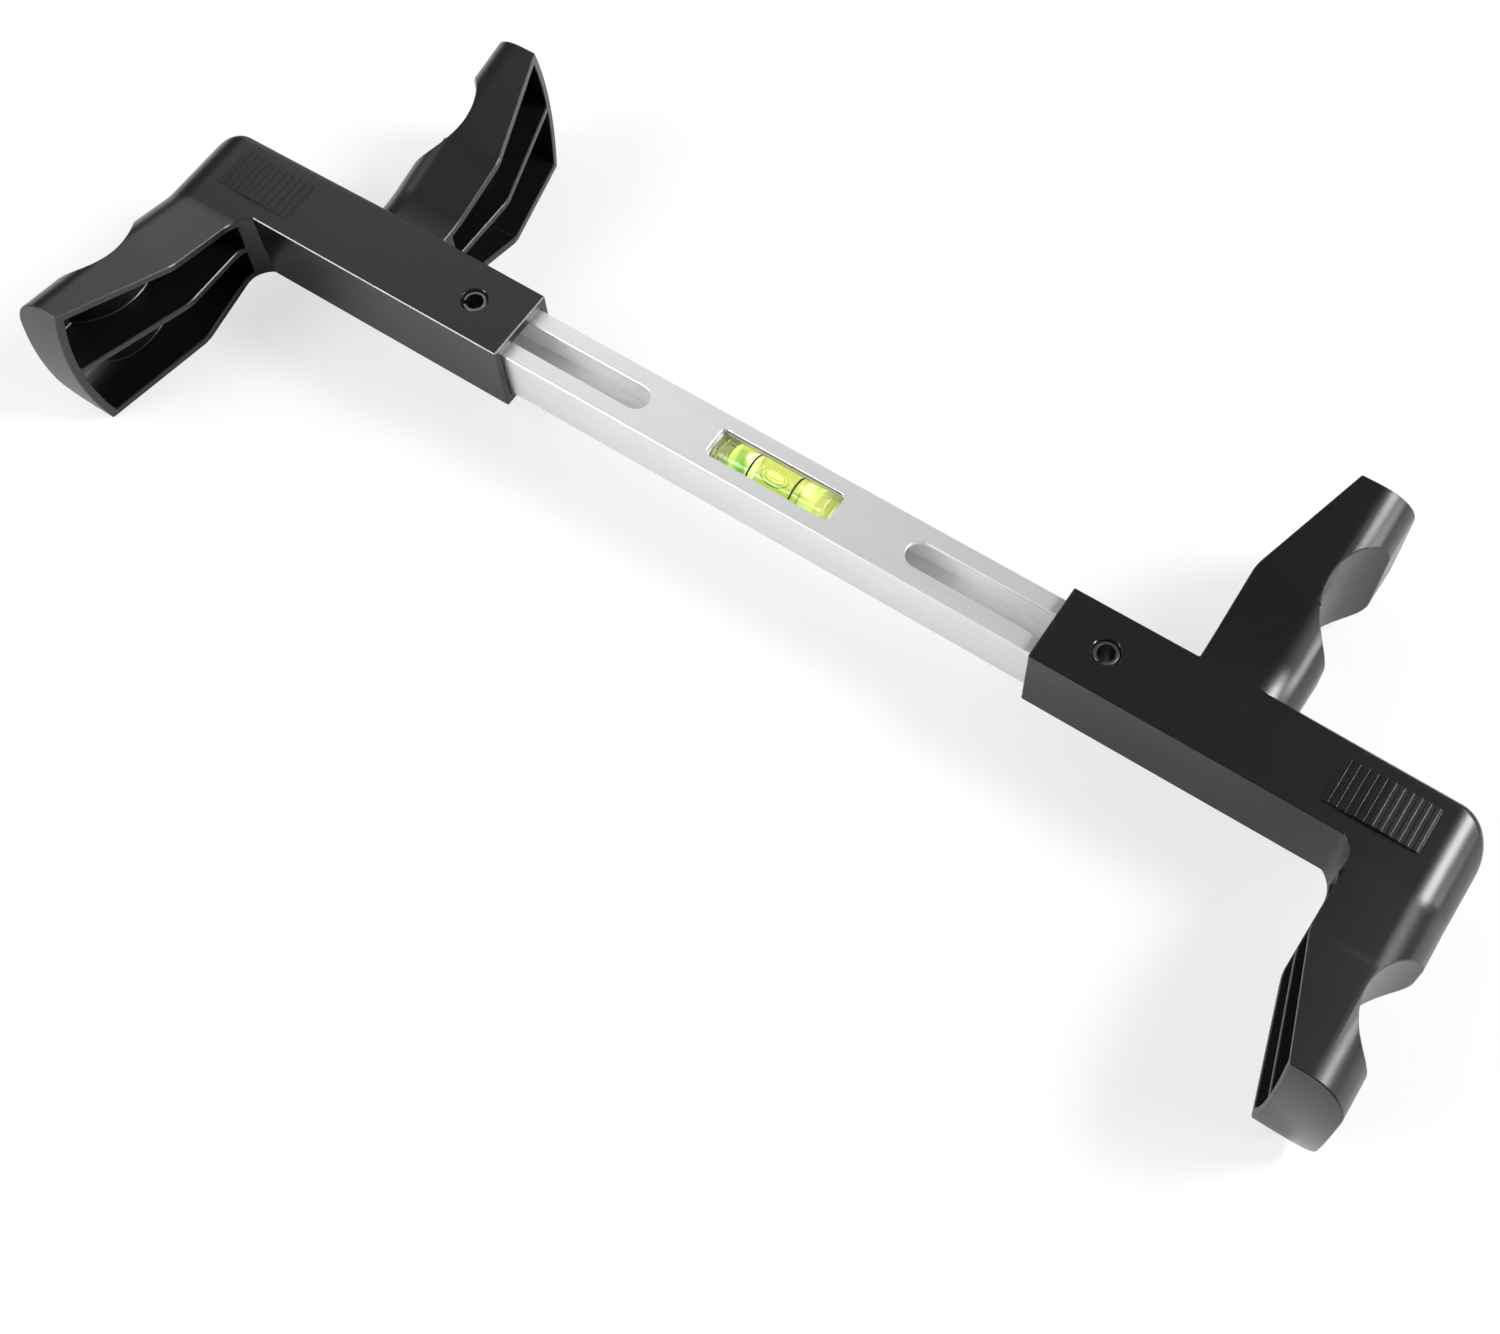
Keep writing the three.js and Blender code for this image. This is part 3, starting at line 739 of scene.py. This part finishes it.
def socket_outside():
    corner_start = outer_face - outer_radius
    piece = block("socket", (short_arm_face, -socket_half_width, -socket_half_height),
                  (corner_start, socket_half_width, socket_half_height))
    round_edges(piece, lambda edge: lies_at(edge, "y", socket_half_width) and runs_along(edge, "x"),
                back_edge_radius, segments=6)
    for end in (-1, 1):
        pick(piece, "VERT", lambda vertex: near(vertex.co.x, short_arm_face)
             and vertex.co.y > 0 and vertex.co.z * end > 0)
        bpy.ops.transform.resize(value=(1, 0, 0), center_override=(
            short_arm_face, socket_half_width, end * socket_half_height))
        bpy.ops.mesh.remove_doubles(threshold=0.01 * mm)
        done()
    pick(piece, "FACE", lambda face: looks(face, "x", -1))
    extrude(mouth - short_arm_face, 0, 0)
    done()
    pick(piece, "FACE", lambda face: looks(face, "x", 1))
    width, height, x = 2 * socket_half_width, socket_half_height, corner_start
    for step in range(1, rounding_steps + 1):
        angle = math.radians(90) * step / rounding_steps
        inset = outer_radius * (1 - math.cos(angle))
        new_width, new_height = 2 * socket_half_width - inset, socket_half_height - inset
        new_x = corner_start + outer_radius * math.sin(angle)
        extrude(new_x - x, 0, 0)
        bpy.ops.transform.resize(value=(1, new_width / width, new_height / height),
                                 center_override=(0, -socket_half_width, 0))
        width, height, x = new_width, new_height, new_x
    done()
    return piece


bracket = socket_outside()
print("socket:", len(bracket.data.polygons), "faces")

# %% [markdown]
# ## The arms' outsides
# An arm widens from its root in two slopes, and its outer edges carry on the socket's large
# rounding. An arm could be lofted from drawn sections. Here its root face is extruded to each
# section in turn, and the top half is moved up and the lower half down, which keeps the rounding
# the same size. The long-span arm grows straight out of the socket's front, so no seam shows
# between the two. The crease at an arm's foot is rounded, tightly on the long-span arm, where the
# fillet meets it, and more on the other one.

# %% Helpers: an arm
long_crease_rounding, short_crease_rounding, kink_rounding = 2 * mm, 5 * mm, 1.5 * mm
crease_steps = 4
tip_lean = 12 * mm
arm_ends_past = tip_bulge + overrun
steep = (tip_half_height - kink_half_height) / (tip_reach - kink_reach)
lean = tip_lean / (tip_reach - kink_reach)


def grow_arm(piece, side, inner_x, reach, half_height, crease_rounding, wall=0):
    """Grows the picked root to the crease, the kink and past the tip; side is -1 or +1 along Y."""
    stations = ((crease_reach, half_height, 0), (kink_reach, kink_half_height - wall, 0),
                (tip_reach + arm_ends_past, tip_half_height + steep * arm_ends_past - wall,
                 tip_lean + lean * arm_ends_past))
    for new_reach, new_half_height, leaning in stations:
        extrude(0, side * (new_reach - reach), 0)
        done()
        for half in (-1, 1):
            move(piece, lambda vertex: near(vertex.co.y, side * new_reach)
                 and vertex.co.z * half > 0, (0, 0, half * (new_half_height - half_height)))
        move(piece, lambda vertex: near(vertex.co.y, side * new_reach)
             and near(vertex.co.x, inner_x), (leaning, 0, 0))
        reach, half_height = new_reach, new_half_height
        pick(piece, "FACE", lambda face: lies_at(face, "y", side * reach))
    done()
    for bend_reach, rounding in ((crease_reach, crease_rounding), (kink_reach, kink_rounding)):
        round_edges(piece, lambda edge: lies_at(edge, "y", side * bend_reach), rounding,
                    crease_steps)


def round_tip(piece, side, wall=0):
    """Trims the arm with a large cylinder along the bar, which leaves its end bowed."""
    radius = (tip_half_height ** 2 + tip_bulge ** 2) / (2 * tip_bulge)
    middle = (mouth + outer_face) / 2
    drum = rod("drum", "X", (middle, side * (arm_reach - radius), 0), radius - wall,
               2 * (outer_face - mouth), sides=256)
    combine("INTERSECT", piece, drum)


def arm_block(name, arm_face, side, start, half_height, wall=0):
    """The start of an arm, or of the hollow inside it: a block with its two outer edges rounded."""
    near_y, far_y = sorted((side * start, side * socket_half_width))
    inner_x = arm_face - overrun if wall else arm_face
    outer_x = arm_face + arm_depth - wall
    piece = block(name, (inner_x, near_y, -half_height), (outer_x, far_y, half_height))
    round_edges(piece, lambda edge: lies_at(edge, "x", outer_x) and runs_along(edge, "y"),
                outer_radius - wall, rounding_steps)
    pick(piece, "FACE", lambda face: looks(face, "y", side))
    return piece, inner_x


# %% Grow the long-span arm out of the socket
slice_across(bracket, (long_arm_face, 0, 0), (1, 0, 0))
pick(bracket, "FACE", lambda face: looks(face, "y", -1)
     and face.calc_center_median().x > long_arm_face)
grow_arm(bracket, -1, long_arm_face, socket_half_width, socket_half_height, long_crease_rounding)
round_tip(bracket, -1)
print("with the long-span arm:", len(bracket.data.polygons), "faces")

# %% Grow the short-span arm and join it on
short_arm_half_height = socket_half_height - 0.4 * mm
short_arm, inner_x = arm_block("short_arm", short_arm_face, 1, 0, short_arm_half_height)
grow_arm(short_arm, 1, inner_x, socket_half_width, short_arm_half_height, short_crease_rounding)
round_tip(short_arm, 1)
join(bracket, short_arm)
print("with both arms:", len(bracket.data.polygons), "faces")

# %% [markdown]
# ## Notches, fillet and pockets
# The half-round notches hold the wheel's rim. Each arm is hollow, with a rib along its middle, to
# save material and to keep its walls even, as moulded parts are. A concave fillet stiffens the
# corner where the long-span arm leaves the socket, and the pockets cut into it.

# %% Cut the notches
notch_radius = 20 * mm
notch_centre_past_face = 9 * mm
notch_reach = 50 * mm
arms = ((long_arm_face, -1, socket_half_height, long_crease_rounding),
        (short_arm_face, 1, short_arm_half_height, short_crease_rounding))


def notch_cutter(arm_face, side, wall=0):
    centre = (arm_face + arm_depth + notch_centre_past_face, side * notch_reach, 0)
    return rod("notch", "Z", centre, notch_radius + wall, 2 * (tip_half_height + overrun), 160)


for arm_face, side, *_ in arms:
    cut(bracket, notch_cutter(arm_face, side))
print("notched:", len(bracket.data.polygons), "faces")

# %% Add the root fillet
fillet_along, fillet_out = 4.9 * mm, 8.75 * mm


def root_fillet():
    radius = (fillet_along ** 2 + fillet_out ** 2) / (2 * fillet_along)
    end = -socket_half_width - fillet_out
    piece = block("fillet", (long_arm_face - fillet_along, end, -socket_half_height),
                  (long_arm_face + overrun, -socket_half_width + overrun, socket_half_height))
    slice_across(piece, (0, -crease_reach, 0), (0, 1, 0))
    rise = ((kink_half_height - socket_half_height) / (kink_reach - crease_reach)
            * (-end - crease_reach))
    for half in (-1, 1):
        move(piece, lambda vertex: near(vertex.co.y, end) and vertex.co.z * half > 0,
             (0, 0, half * rise))
    round_edges(piece, lambda edge: lies_at(edge, "y", -crease_reach)
                and not runs_along(edge, "z"), long_crease_rounding, crease_steps)
    return cut(piece, rod("hollow", "Z", (long_arm_face - radius, end, 0), radius,
                          4 * socket_half_height, sides=128))


join(bracket, root_fillet())
tidy_flats(bracket)
print("with its fillet:", len(bracket.data.polygons), "faces")

# %% Cut the pockets
wall = 2.7 * mm
rib = 2.5 * mm
pocket_start, pocket_reach = 10 * mm, 17 * mm


def pocket(arm_face, side, root_half_height, crease_rounding):
    half_height = root_half_height - wall
    piece, inner_x = arm_block("pocket", arm_face, side, pocket_start, half_height, wall)
    grow_arm(piece, side, inner_x, socket_half_width, half_height, crease_rounding, wall)
    slice_across(piece, (0, side * pocket_reach, 0), (0, side, 0), use_fill=True, clear_inner=True)
    round_tip(piece, side, wall)
    return cut(piece, notch_cutter(arm_face, side, wall),
               block("rib", (arm_face - 2 * overrun, -2 * arm_reach, -rib / 2),
                     (outer_face + overrun, 2 * arm_reach, rib / 2)))


for arm in arms:
    cut(bracket, pocket(*arm))
print("with its pockets:", len(bracket.data.polygons), "faces")

# %% [markdown]
# ## Inside the socket
# The bar slides in a square cavity. Past it a round bore holds the spring, and a round hole through
# both faces takes the slotted pin. These are cut last, when the outside is whole.

# %% Cut the cavity, the spring's bore and the pin's hole
cavity_end = mouth + 92.7 * mm
spring_bore_radius, spring_bore_depth = 8.5 * mm, 29.5 * mm
pin_x = mouth + 17.6 * mm
pin_radius = 4 * mm
press_gap = 0.15 * mm

cut(bracket,
    block("cavity", (mouth - overrun, -cavity_half, -cavity_half),
          (cavity_end, cavity_half, cavity_half)),
    rod("spring_bore", "X", (cavity_end + (spring_bore_depth - overrun) / 2, 0, 0),
        spring_bore_radius, spring_bore_depth + overrun),
    rod("pin_hole", "Z", (pin_x, 0, 0), pin_radius + press_gap, 3 * socket_half_height))
tidy_flats(bracket, closer_than=0.15 * mm)
soften(bracket, width=0.3 * mm, segments=1, clamped=False)
print("hollowed:", len(bracket.data.polygons), "faces")

# %% [markdown]
# ## Thumb pads
# On each face of the socket is a low tent with eleven ribs across it, where thumbs push the
# brackets together. The tent is a block whose middle is lifted, and each rib is a strip of its top,
# extruded.

# %% Make a ribbed pad and join it to both faces
pad_end = outer_face - 15.8 * mm
pad_length, pad_half_width = 28.4 * mm, 7.3 * mm
pad_foot, pad_ridge = 0.25 * mm, 1.0 * mm
rib_count, rib_height, rib_share = 11, 0.35 * mm, 0.45


def thumb_pad():
    pad_start, pad_middle = pad_end - pad_length, pad_end - pad_length / 2
    foot = socket_half_height + pad_foot
    pad = block("pad", (pad_start, -pad_half_width, socket_half_height - overrun),
                (pad_end, pad_half_width, foot))
    slice_across(pad, (pad_middle, 0, 0), (1, 0, 0))
    move(pad, lambda vertex: near(vertex.co.x, pad_middle) and near(vertex.co.z, foot),
         (0, 0, pad_ridge - pad_foot))
    pitch = pad_length / rib_count
    for number in range(rib_count):
        rib_middle = pad_start + (number + 0.5) * pitch
        rib_half = rib_share * pitch / 2
        for x in (rib_middle - rib_half, rib_middle + rib_half):
            slice_across(pad, (x, 0, 0), (1, 0, 0))
        pick(pad, "FACE", lambda face: looks(face, "z", 1)
             and abs(face.calc_center_median().x - rib_middle) < rib_half)
        extrude(0, 0, rib_height)
        done()
    soften(pad, width=0.08 * mm)
    return pad


pad = thumb_pad()
lower_pad = copy_of(pad, "lower_pad")
turn(lower_pad, "X")
join(bracket, pad, lower_pad)
mark_edges(bracket, narrower_than=0.44 * mm)
print("with its pads:", len(bracket.data.polygons), "faces")

# %% [markdown]
# ## Both brackets
# The left bracket is a copy, turned half a turn about the line across the bar. It isn't mirrored,
# because one mould makes both. The shading is smoothed on each copy, after it has been turned.

# %% Copy, turn and finish the brackets
for piece, side, _ in both_ends(bracket, "bracket_moulding", "Y"):
    finish_piece(piece, black, f"{side}_bracket", "moulded_black", f"{side}_bracket",
                 smooth_under=30)

# %% [markdown]
# ## The bar
# A drawn square tube, cut to length, with a window for the vial and a slot at each end through its
# top and underside. Its edges are only lightly broken, so they catch the light as thin white lines.

# %% Cut the bar's window and slots
bar_wall = 1.5 * mm
inner_half = bar_half - bar_wall
slot_half_width = pin_radius + fit_gap
slot_inner, slot_outer = 45.9 * mm, 115.3 * mm
slot_end_radius = slot_half_width - 0.005 * mm  # a hair less, so the two roundings stay apart
window_half_length, window_half_width, window_corner = 21.7 * mm, 5.1 * mm, 1.75 * mm


def rounded_cutter(name, low, high, radius):
    """A block with its upright edges rounded, for cutting a window or a slot."""
    piece = block(name, low, high)
    round_edges(piece, lambda edge: runs_along(edge, "z"), radius, segments=12)
    return piece


bar = block("bar_extrusion", bar_low, bar_high)
cut(bar, block("hollow", (2 * bar_low.x, -inner_half, -inner_half),
               (2 * bar_high.x, inner_half, inner_half)))
cut(bar, rounded_cutter(
    "window", (-window_half_length, -window_half_width, inner_half - overrun / 2),
    (window_half_length, window_half_width, bar_half + overrun), window_corner))
for slot_from, slot_to in ((slot_inner, slot_outer), (-slot_outer, -slot_inner)):
    cut(bar, rounded_cutter("slot", (slot_from, -slot_half_width, -2 * bar_half),
                            (slot_to, slot_half_width, 2 * bar_half), slot_end_radius))
tidy_flats(bar)
soften(bar, width=0.25 * mm, segments=1)
mark_edges(bar, narrower_than=0.37 * mm)
finish_piece(bar, aluminium, "bar", "bar_aluminium", "bar")

# %% [markdown]
# ## Slotted pins
# Each pin is rolled from spring steel, and the slit lets it close up as it is driven in. It is a
# rod with chamfered ends, bored through and slit along its length. The two slits face different
# ways, because nothing sets how a pin is turned when it goes in.

# %% Make the pins
pin_half_length = socket_half_height - 0.8 * mm
pin_chamfer = 0.45 * mm
pin_bore_radius = 2.8 * mm
slit_half_width = 0.8 * mm


def slotted_pin(name, x, slit_angle):
    pin = rod(name, "Z", (x, 0, 0), pin_radius, 2 * pin_half_length)
    round_edges(pin, lambda edge: not runs_along(edge, "z"), pin_chamfer, segments=1)
    slit = block("slit", (0, -slit_half_width, -2 * pin_half_length),
                 (2 * pin_radius, slit_half_width, 2 * pin_half_length))
    turn(slit, "Z", slit_angle)
    move(slit, lambda vertex: True, (x, 0, 0))
    cut(pin, rod("bore", "Z", (x, 0, 0), pin_bore_radius, 3 * pin_half_length), slit)
    tidy_flats(pin)
    soften(pin, width=0.12 * mm)
    mark_edges(pin, narrower_than=0.13 * mm)
    return pin


for side, x, slit_angle in (("right", pin_x, 1.62), ("left", -pin_x, 2.5)):
    pin = slotted_pin(f"{side}_slotted_pin", x, slit_angle)
    finish_piece(pin, pin_steel, f"{side}_bracket", "pin_steel", f"{side}_pin")

# %% [markdown]
# ## Springs
# A compression spring lies in each bracket's bore, on the plug in the bar's end. It is one round
# section turned and moved along by the screw modifier, once for the open turns and once for each
# closed end. On the real tool, the spring shortens towards the plug when its bracket slides in.

# %% Wind a spring
wire, wire_sides, steps_in_a_turn = 1.2 * mm, 10, 28
coil_radius, closed_pitch, spring_turns = 6.9 * mm, 1.7 * mm, 20
spring_from, spring_to = 125.6 * mm, 215.3 * mm


def coil(name, start, turns, length):
    """Part of a spring: a round section of wire that winds along the bar's line."""
    piece = add(name, bpy.ops.mesh.primitive_circle_add, vertices=wire_sides, radius=wire / 2,
                location=(start, 0, coil_radius), rotation=(math.pi / 2, 0, 0))
    steps = steps_in_a_turn * turns
    modify(piece, "SCREW", axis="X", angle=math.radians(360 * turns), screw_offset=length,
           steps=steps, render_steps=steps, use_merge_vertices=False)
    return piece


def wound_spring():
    first, last = spring_from + wire / 2, spring_to - wire / 2
    open_length = last - first - 2 * closed_pitch
    spring = coil("spring", first, 1, closed_pitch)
    parts = (coil("open", first + closed_pitch, spring_turns - 2, open_length),
             coil("closed", last - closed_pitch, 1, closed_pitch))
    only(spring)
    for part in parts:
        part.select_set(True)
    bpy.ops.object.join()
    pick(spring, "VERT")
    bpy.ops.mesh.remove_doubles(threshold=0.01 * mm)
    bpy.ops.mesh.select_all(action="DESELECT")
    bpy.ops.mesh.select_non_manifold()
    bpy.ops.mesh.edge_face_add()
    bpy.ops.mesh.select_all(action="SELECT")
    bpy.ops.mesh.normals_make_consistent(inside=False)
    done()
    return spring


for spring, side, sign in both_ends(wound_spring(), "compression_spring", "Y"):
    finish_piece(spring, spring_steel, "bar", "spring_steel", f"{side}_spring")
    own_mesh(spring)

# %% [markdown]
# ## The vial
# A clear tube, closed by a stepped cap at each end and filled with coloured liquid that leaves a
# bubble. Two black lines are painted round it. The liquid is drawn a hair larger than the tube's
# bore, so that light passes from one to the other with no layer of air between, as it does in the
# real vial.

# %% Sizes of the vial
vial_low, vial_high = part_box("vial_tube")
vial_z = (vial_low.z + vial_high.z) / 2
vial_radius = (vial_high.z - vial_low.z) / 2
tube_half_length = vial_high.x
bore_radius = 4.2 * mm
cap_plug, cap_flange, cap_stub = 3 * mm, 1.4 * mm, 0.8 * mm
stub_radius, dimple_radius, dimple_depth = 4 * mm, 3.1 * mm, 0.5 * mm


def along_vial(name, radius, length, x=0):
    return rod(name, "X", (x, 0, vial_z), radius, length)


print(f"vial: {2 * tube_half_length / mm:.1f} mm long, {2 * vial_radius / mm:.1f} mm across")

# %% Make the tube and its caps
tube = along_vial("clear_tube", vial_radius, 2 * tube_half_length)
cut(tube, along_vial("bore", bore_radius, 3 * tube_half_length))
tidy_flats(tube)
soften(tube, width=0.15 * mm)
finish_piece(tube, acrylic, "bar", "vial_acrylic", "vial_tube")


def vial_cap():
    """A cap for the right-hand end, turned in steps from one rod: plug, flange, stub, dimple."""
    plug_from, flange_from = tube_half_length - cap_plug, tube_half_length + fit_gap
    radius = bore_radius - fit_gap
    cap = along_vial("cap", radius, flange_from - plug_from, (plug_from + flange_from) / 2)
    pick(cap, "FACE", lambda face: looks(face, "x", 1))
    for new_radius, forward in ((vial_radius, cap_flange), (stub_radius, cap_stub),
                                (dimple_radius, -dimple_depth)):
        for step in (0, forward):
            extrude(step, 0, 0)
            grown = new_radius / radius
            bpy.ops.transform.resize(value=(1, grown, grown), center_override=(0, 0, vial_z))
            radius = new_radius
    done()
    soften(cap, width=0.15 * mm)
    return cap


for cap, side, _ in both_ends(vial_cap(), "clear_cap", "Z"):
    finish_piece(cap, acrylic, "bar", "vial_acrylic", f"vial_end_cap_{side}")

# %% Fill the tube and paint its lines
soak, end_gap = 0.04 * mm, 0.05 * mm
line_proud, line_sunk = 0.02 * mm, 0.2 * mm
past_line, past_bubble = 10 * mm, 20 * mm  # lengths of rods that go through the piece they trim

liquid_half_length = tube_half_length - cap_plug - end_gap
liquid = along_vial("coloured_liquid", bore_radius + soak, 2 * liquid_half_length)
soften(liquid, width=0.2 * mm)
finish_piece(liquid, green_liquid, "bar", "vial_liquid", "vial_liquid")

for side in ("right", "left"):
    line_low, line_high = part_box(f"vial_ring_{side}")
    line_x = (line_low.x + line_high.x) / 2
    line = along_vial(f"{side}_black_line", vial_radius + line_proud,
                      line_high.x - line_low.x, line_x)
    cut(line, along_vial("inside", vial_radius - line_sunk, past_line, line_x))
    soften(line, width=0.02 * mm)
    finish_piece(line, ring_paint, "bar", "ring_black", f"vial_ring_{side}")

# %% [markdown]
# ### The bubble
# Air rises, so the bubble lies against the top of the bore and takes its curve there. It could be
# sculpted, but a ball stretched to the working bubble's box, and trimmed by a rod a little thinner
# than the bore, has the same shape. It is a body of its own, because it runs along the vial.

# %% Blow the bubble
skin_of_liquid = 0.25 * mm
bubble_low, bubble_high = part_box("vial_bubble")
bubble = add("air_bubble", bpy.ops.mesh.primitive_uv_sphere_add, bubble_high - bubble_low,
             segments=48, ring_count=32, radius=0.5, location=(bubble_low + bubble_high) / 2)
combine("INTERSECT", bubble, along_vial("bore", bore_radius - skin_of_liquid, past_bubble))
finish_piece(bubble, bubble_air, "bubble", "vial_bubble", "vial_bubble", smooth_under=60)

# %% [markdown]
# ## Pieces that keep their working shape
# The plugs in the bar's ends and the clip that holds the vial up are hidden but for a glimpse.
# Their working shapes are right, so they stay as they are and only take a finish.

# %% Finish the plugs and the clip
for name, material in (("left_bar_plug", plug_moulding), ("right_bar_plug", plug_moulding),
                       ("vial_cradle", cradle_moulding)):
    give_finish(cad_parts[name], material)
    print("kept:", name)

# %% [markdown]
# ## Floor
# The tool lies on a white sweep. The floor shows nearly white to the camera and through the vial,
# mixed with its own shading so that the tool's shadow stays, and far from the tool it fades into
# the white world, so that low views show no far edge. In reflections it is much fainter, so that
# black plastic stays black. It could be lit to white instead, but that much light would fall on the
# tool as well.

# %% Lay the floor
fade_from, fade_to = 0.45, 1.3
near_glow, glow_in_reflections = 0.7, 0.1
floor = add("floor", bpy.ops.mesh.primitive_plane_add, size=8,
            location=(0, 0, -tip_half_height - 0.1 * mm))
floor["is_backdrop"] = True


def seen_directly(tree, ray):
    """1 for what the camera sees, either straight or through glass, and 0 for the rest."""
    return maths(tree, "MAXIMUM", ray["Is Camera Ray"], ray["Is Transmission Ray"])


def floor_finish():
    material = bpy.data.materials.new("white_sweep")
    material.use_nodes = True
    tree = material.node_tree
    tree.nodes.clear()
    paper = node(tree, "ShaderNodeBsdfDiffuse", {"Color": (0.86, 0.86, 0.865, 1)})
    glow = node(tree, "ShaderNodeEmission", {"Color": (0.98, 0.98, 0.98, 1), "Strength": 1})
    ray = node(tree, "ShaderNodeLightPath").outputs
    away = vector_maths(tree, "LENGTH", place_on(tree), result="Value")
    fading = ramp(tree, away, fade_from, fade_to, near_glow, 1, "SMOOTHSTEP")
    share = maths(tree, "MAXIMUM", maths(tree, "MULTIPLY", seen_directly(tree, ray), fading),
                  maths(tree, "MULTIPLY", ray["Is Glossy Ray"], glow_in_reflections))
    both = node(tree, "ShaderNodeMixShader", {0: share, 1: paper.outputs[0], 2: glow.outputs[0]})
    node(tree, "ShaderNodeOutputMaterial", {"Surface": both.outputs[0]})
    return material


give_finish(floor, floor_finish())
print("floor:", round(floor.dimensions.x), "m across")

# %% [markdown]
# ## Light
# Each face of a bracket mirrors one part of the room, so the soft boxes are placed by what each
# face should show. The key behind on the right and the low one at the right draw the bands along
# the large roundings. The two at the front left show on the bar's top and on the sockets' fronts.
# The weaker ones keep the other faces from going flat. No lamp shows through glass, or the vial
# would be full of white dashes. The world is white to the camera and through glass, and dim for all
# else.


# %% Hang the lamps
def soft_box(name, direction, distance, width, height, brightness):
    """A rectangular lamp that faces the tool; its brightness is what a reflection shows."""
    towards = Vector(direction).normalized()
    lamp_data = bpy.data.lights.new(name, "AREA")
    lamp_data.shape = "RECTANGLE"
    lamp_data.size, lamp_data.size_y = width, height
    lamp_data.energy = brightness * math.pi * width * height
    lamp = bpy.data.objects.new(name, lamp_data)
    lamp.visible_transmission = False
    lamp.location = towards * distance
    lamp.rotation_euler = towards.to_track_quat("Z", "Y").to_euler()
    bpy.context.collection.objects.link(lamp)
    print(f"{name}: {lamp_data.energy:.1f} W")


soft_box("key_behind_right", (0.631, 0.393, 0.669), 1.6, 0.46, 0.46, 36)
soft_box("low_right", (0.925, 0.185, 0.330), 1.6, 0.42, 0.42, 18)
soft_box("behind", (0.45, 0.70, 0.55), 1.6, 0.45, 0.45, 6)
soft_box("front_left", (-0.50, -0.50, 0.707), 1.8, 0.90, 0.90, 7.0)
soft_box("strip_front_left", (-0.56, -0.78, 0.26), 1.8, 0.75, 0.24, 23)
soft_box("panel_behind_left", (-0.45, 0.38, 0.80), 1.8, 0.90, 0.90, 0.7)
soft_box("low_behind_left", (-0.60, 0.60, 0.50), 1.8, 0.90, 0.90, 1.5)
soft_box("low_left", (-0.90, -0.10, 0.40), 1.8, 0.80, 0.80, 1.8)

# %% Light the world
dim = 0.06
world = bpy.data.worlds.new("studio")
world.use_nodes = True
sky = world.node_tree
background = sky.nodes["Background"].inputs
background["Color"].default_value = (1, 1, 1, 1)
ray = node(sky, "ShaderNodeLightPath").outputs
strength = ramp(sky, seen_directly(sky, ray), first=dim)
sky.links.new(strength, background["Strength"])
bpy.context.scene.world = world
bpy.context.scene.view_settings.view_transform = "Standard"
print(f"world: {dim:.0%} of white, for all but the camera and glass")

# %% [markdown]
# ## Print the size
# The finished pieces should fill the same box as the working model, so both boxes are printed.

# %% Measure and finish
visual_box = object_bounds()
for name, box in (("working box:", working_box), ("visual box:", visual_box)):
    print(name, [[round(value / mm, 2) for value in corner] for corner in box])
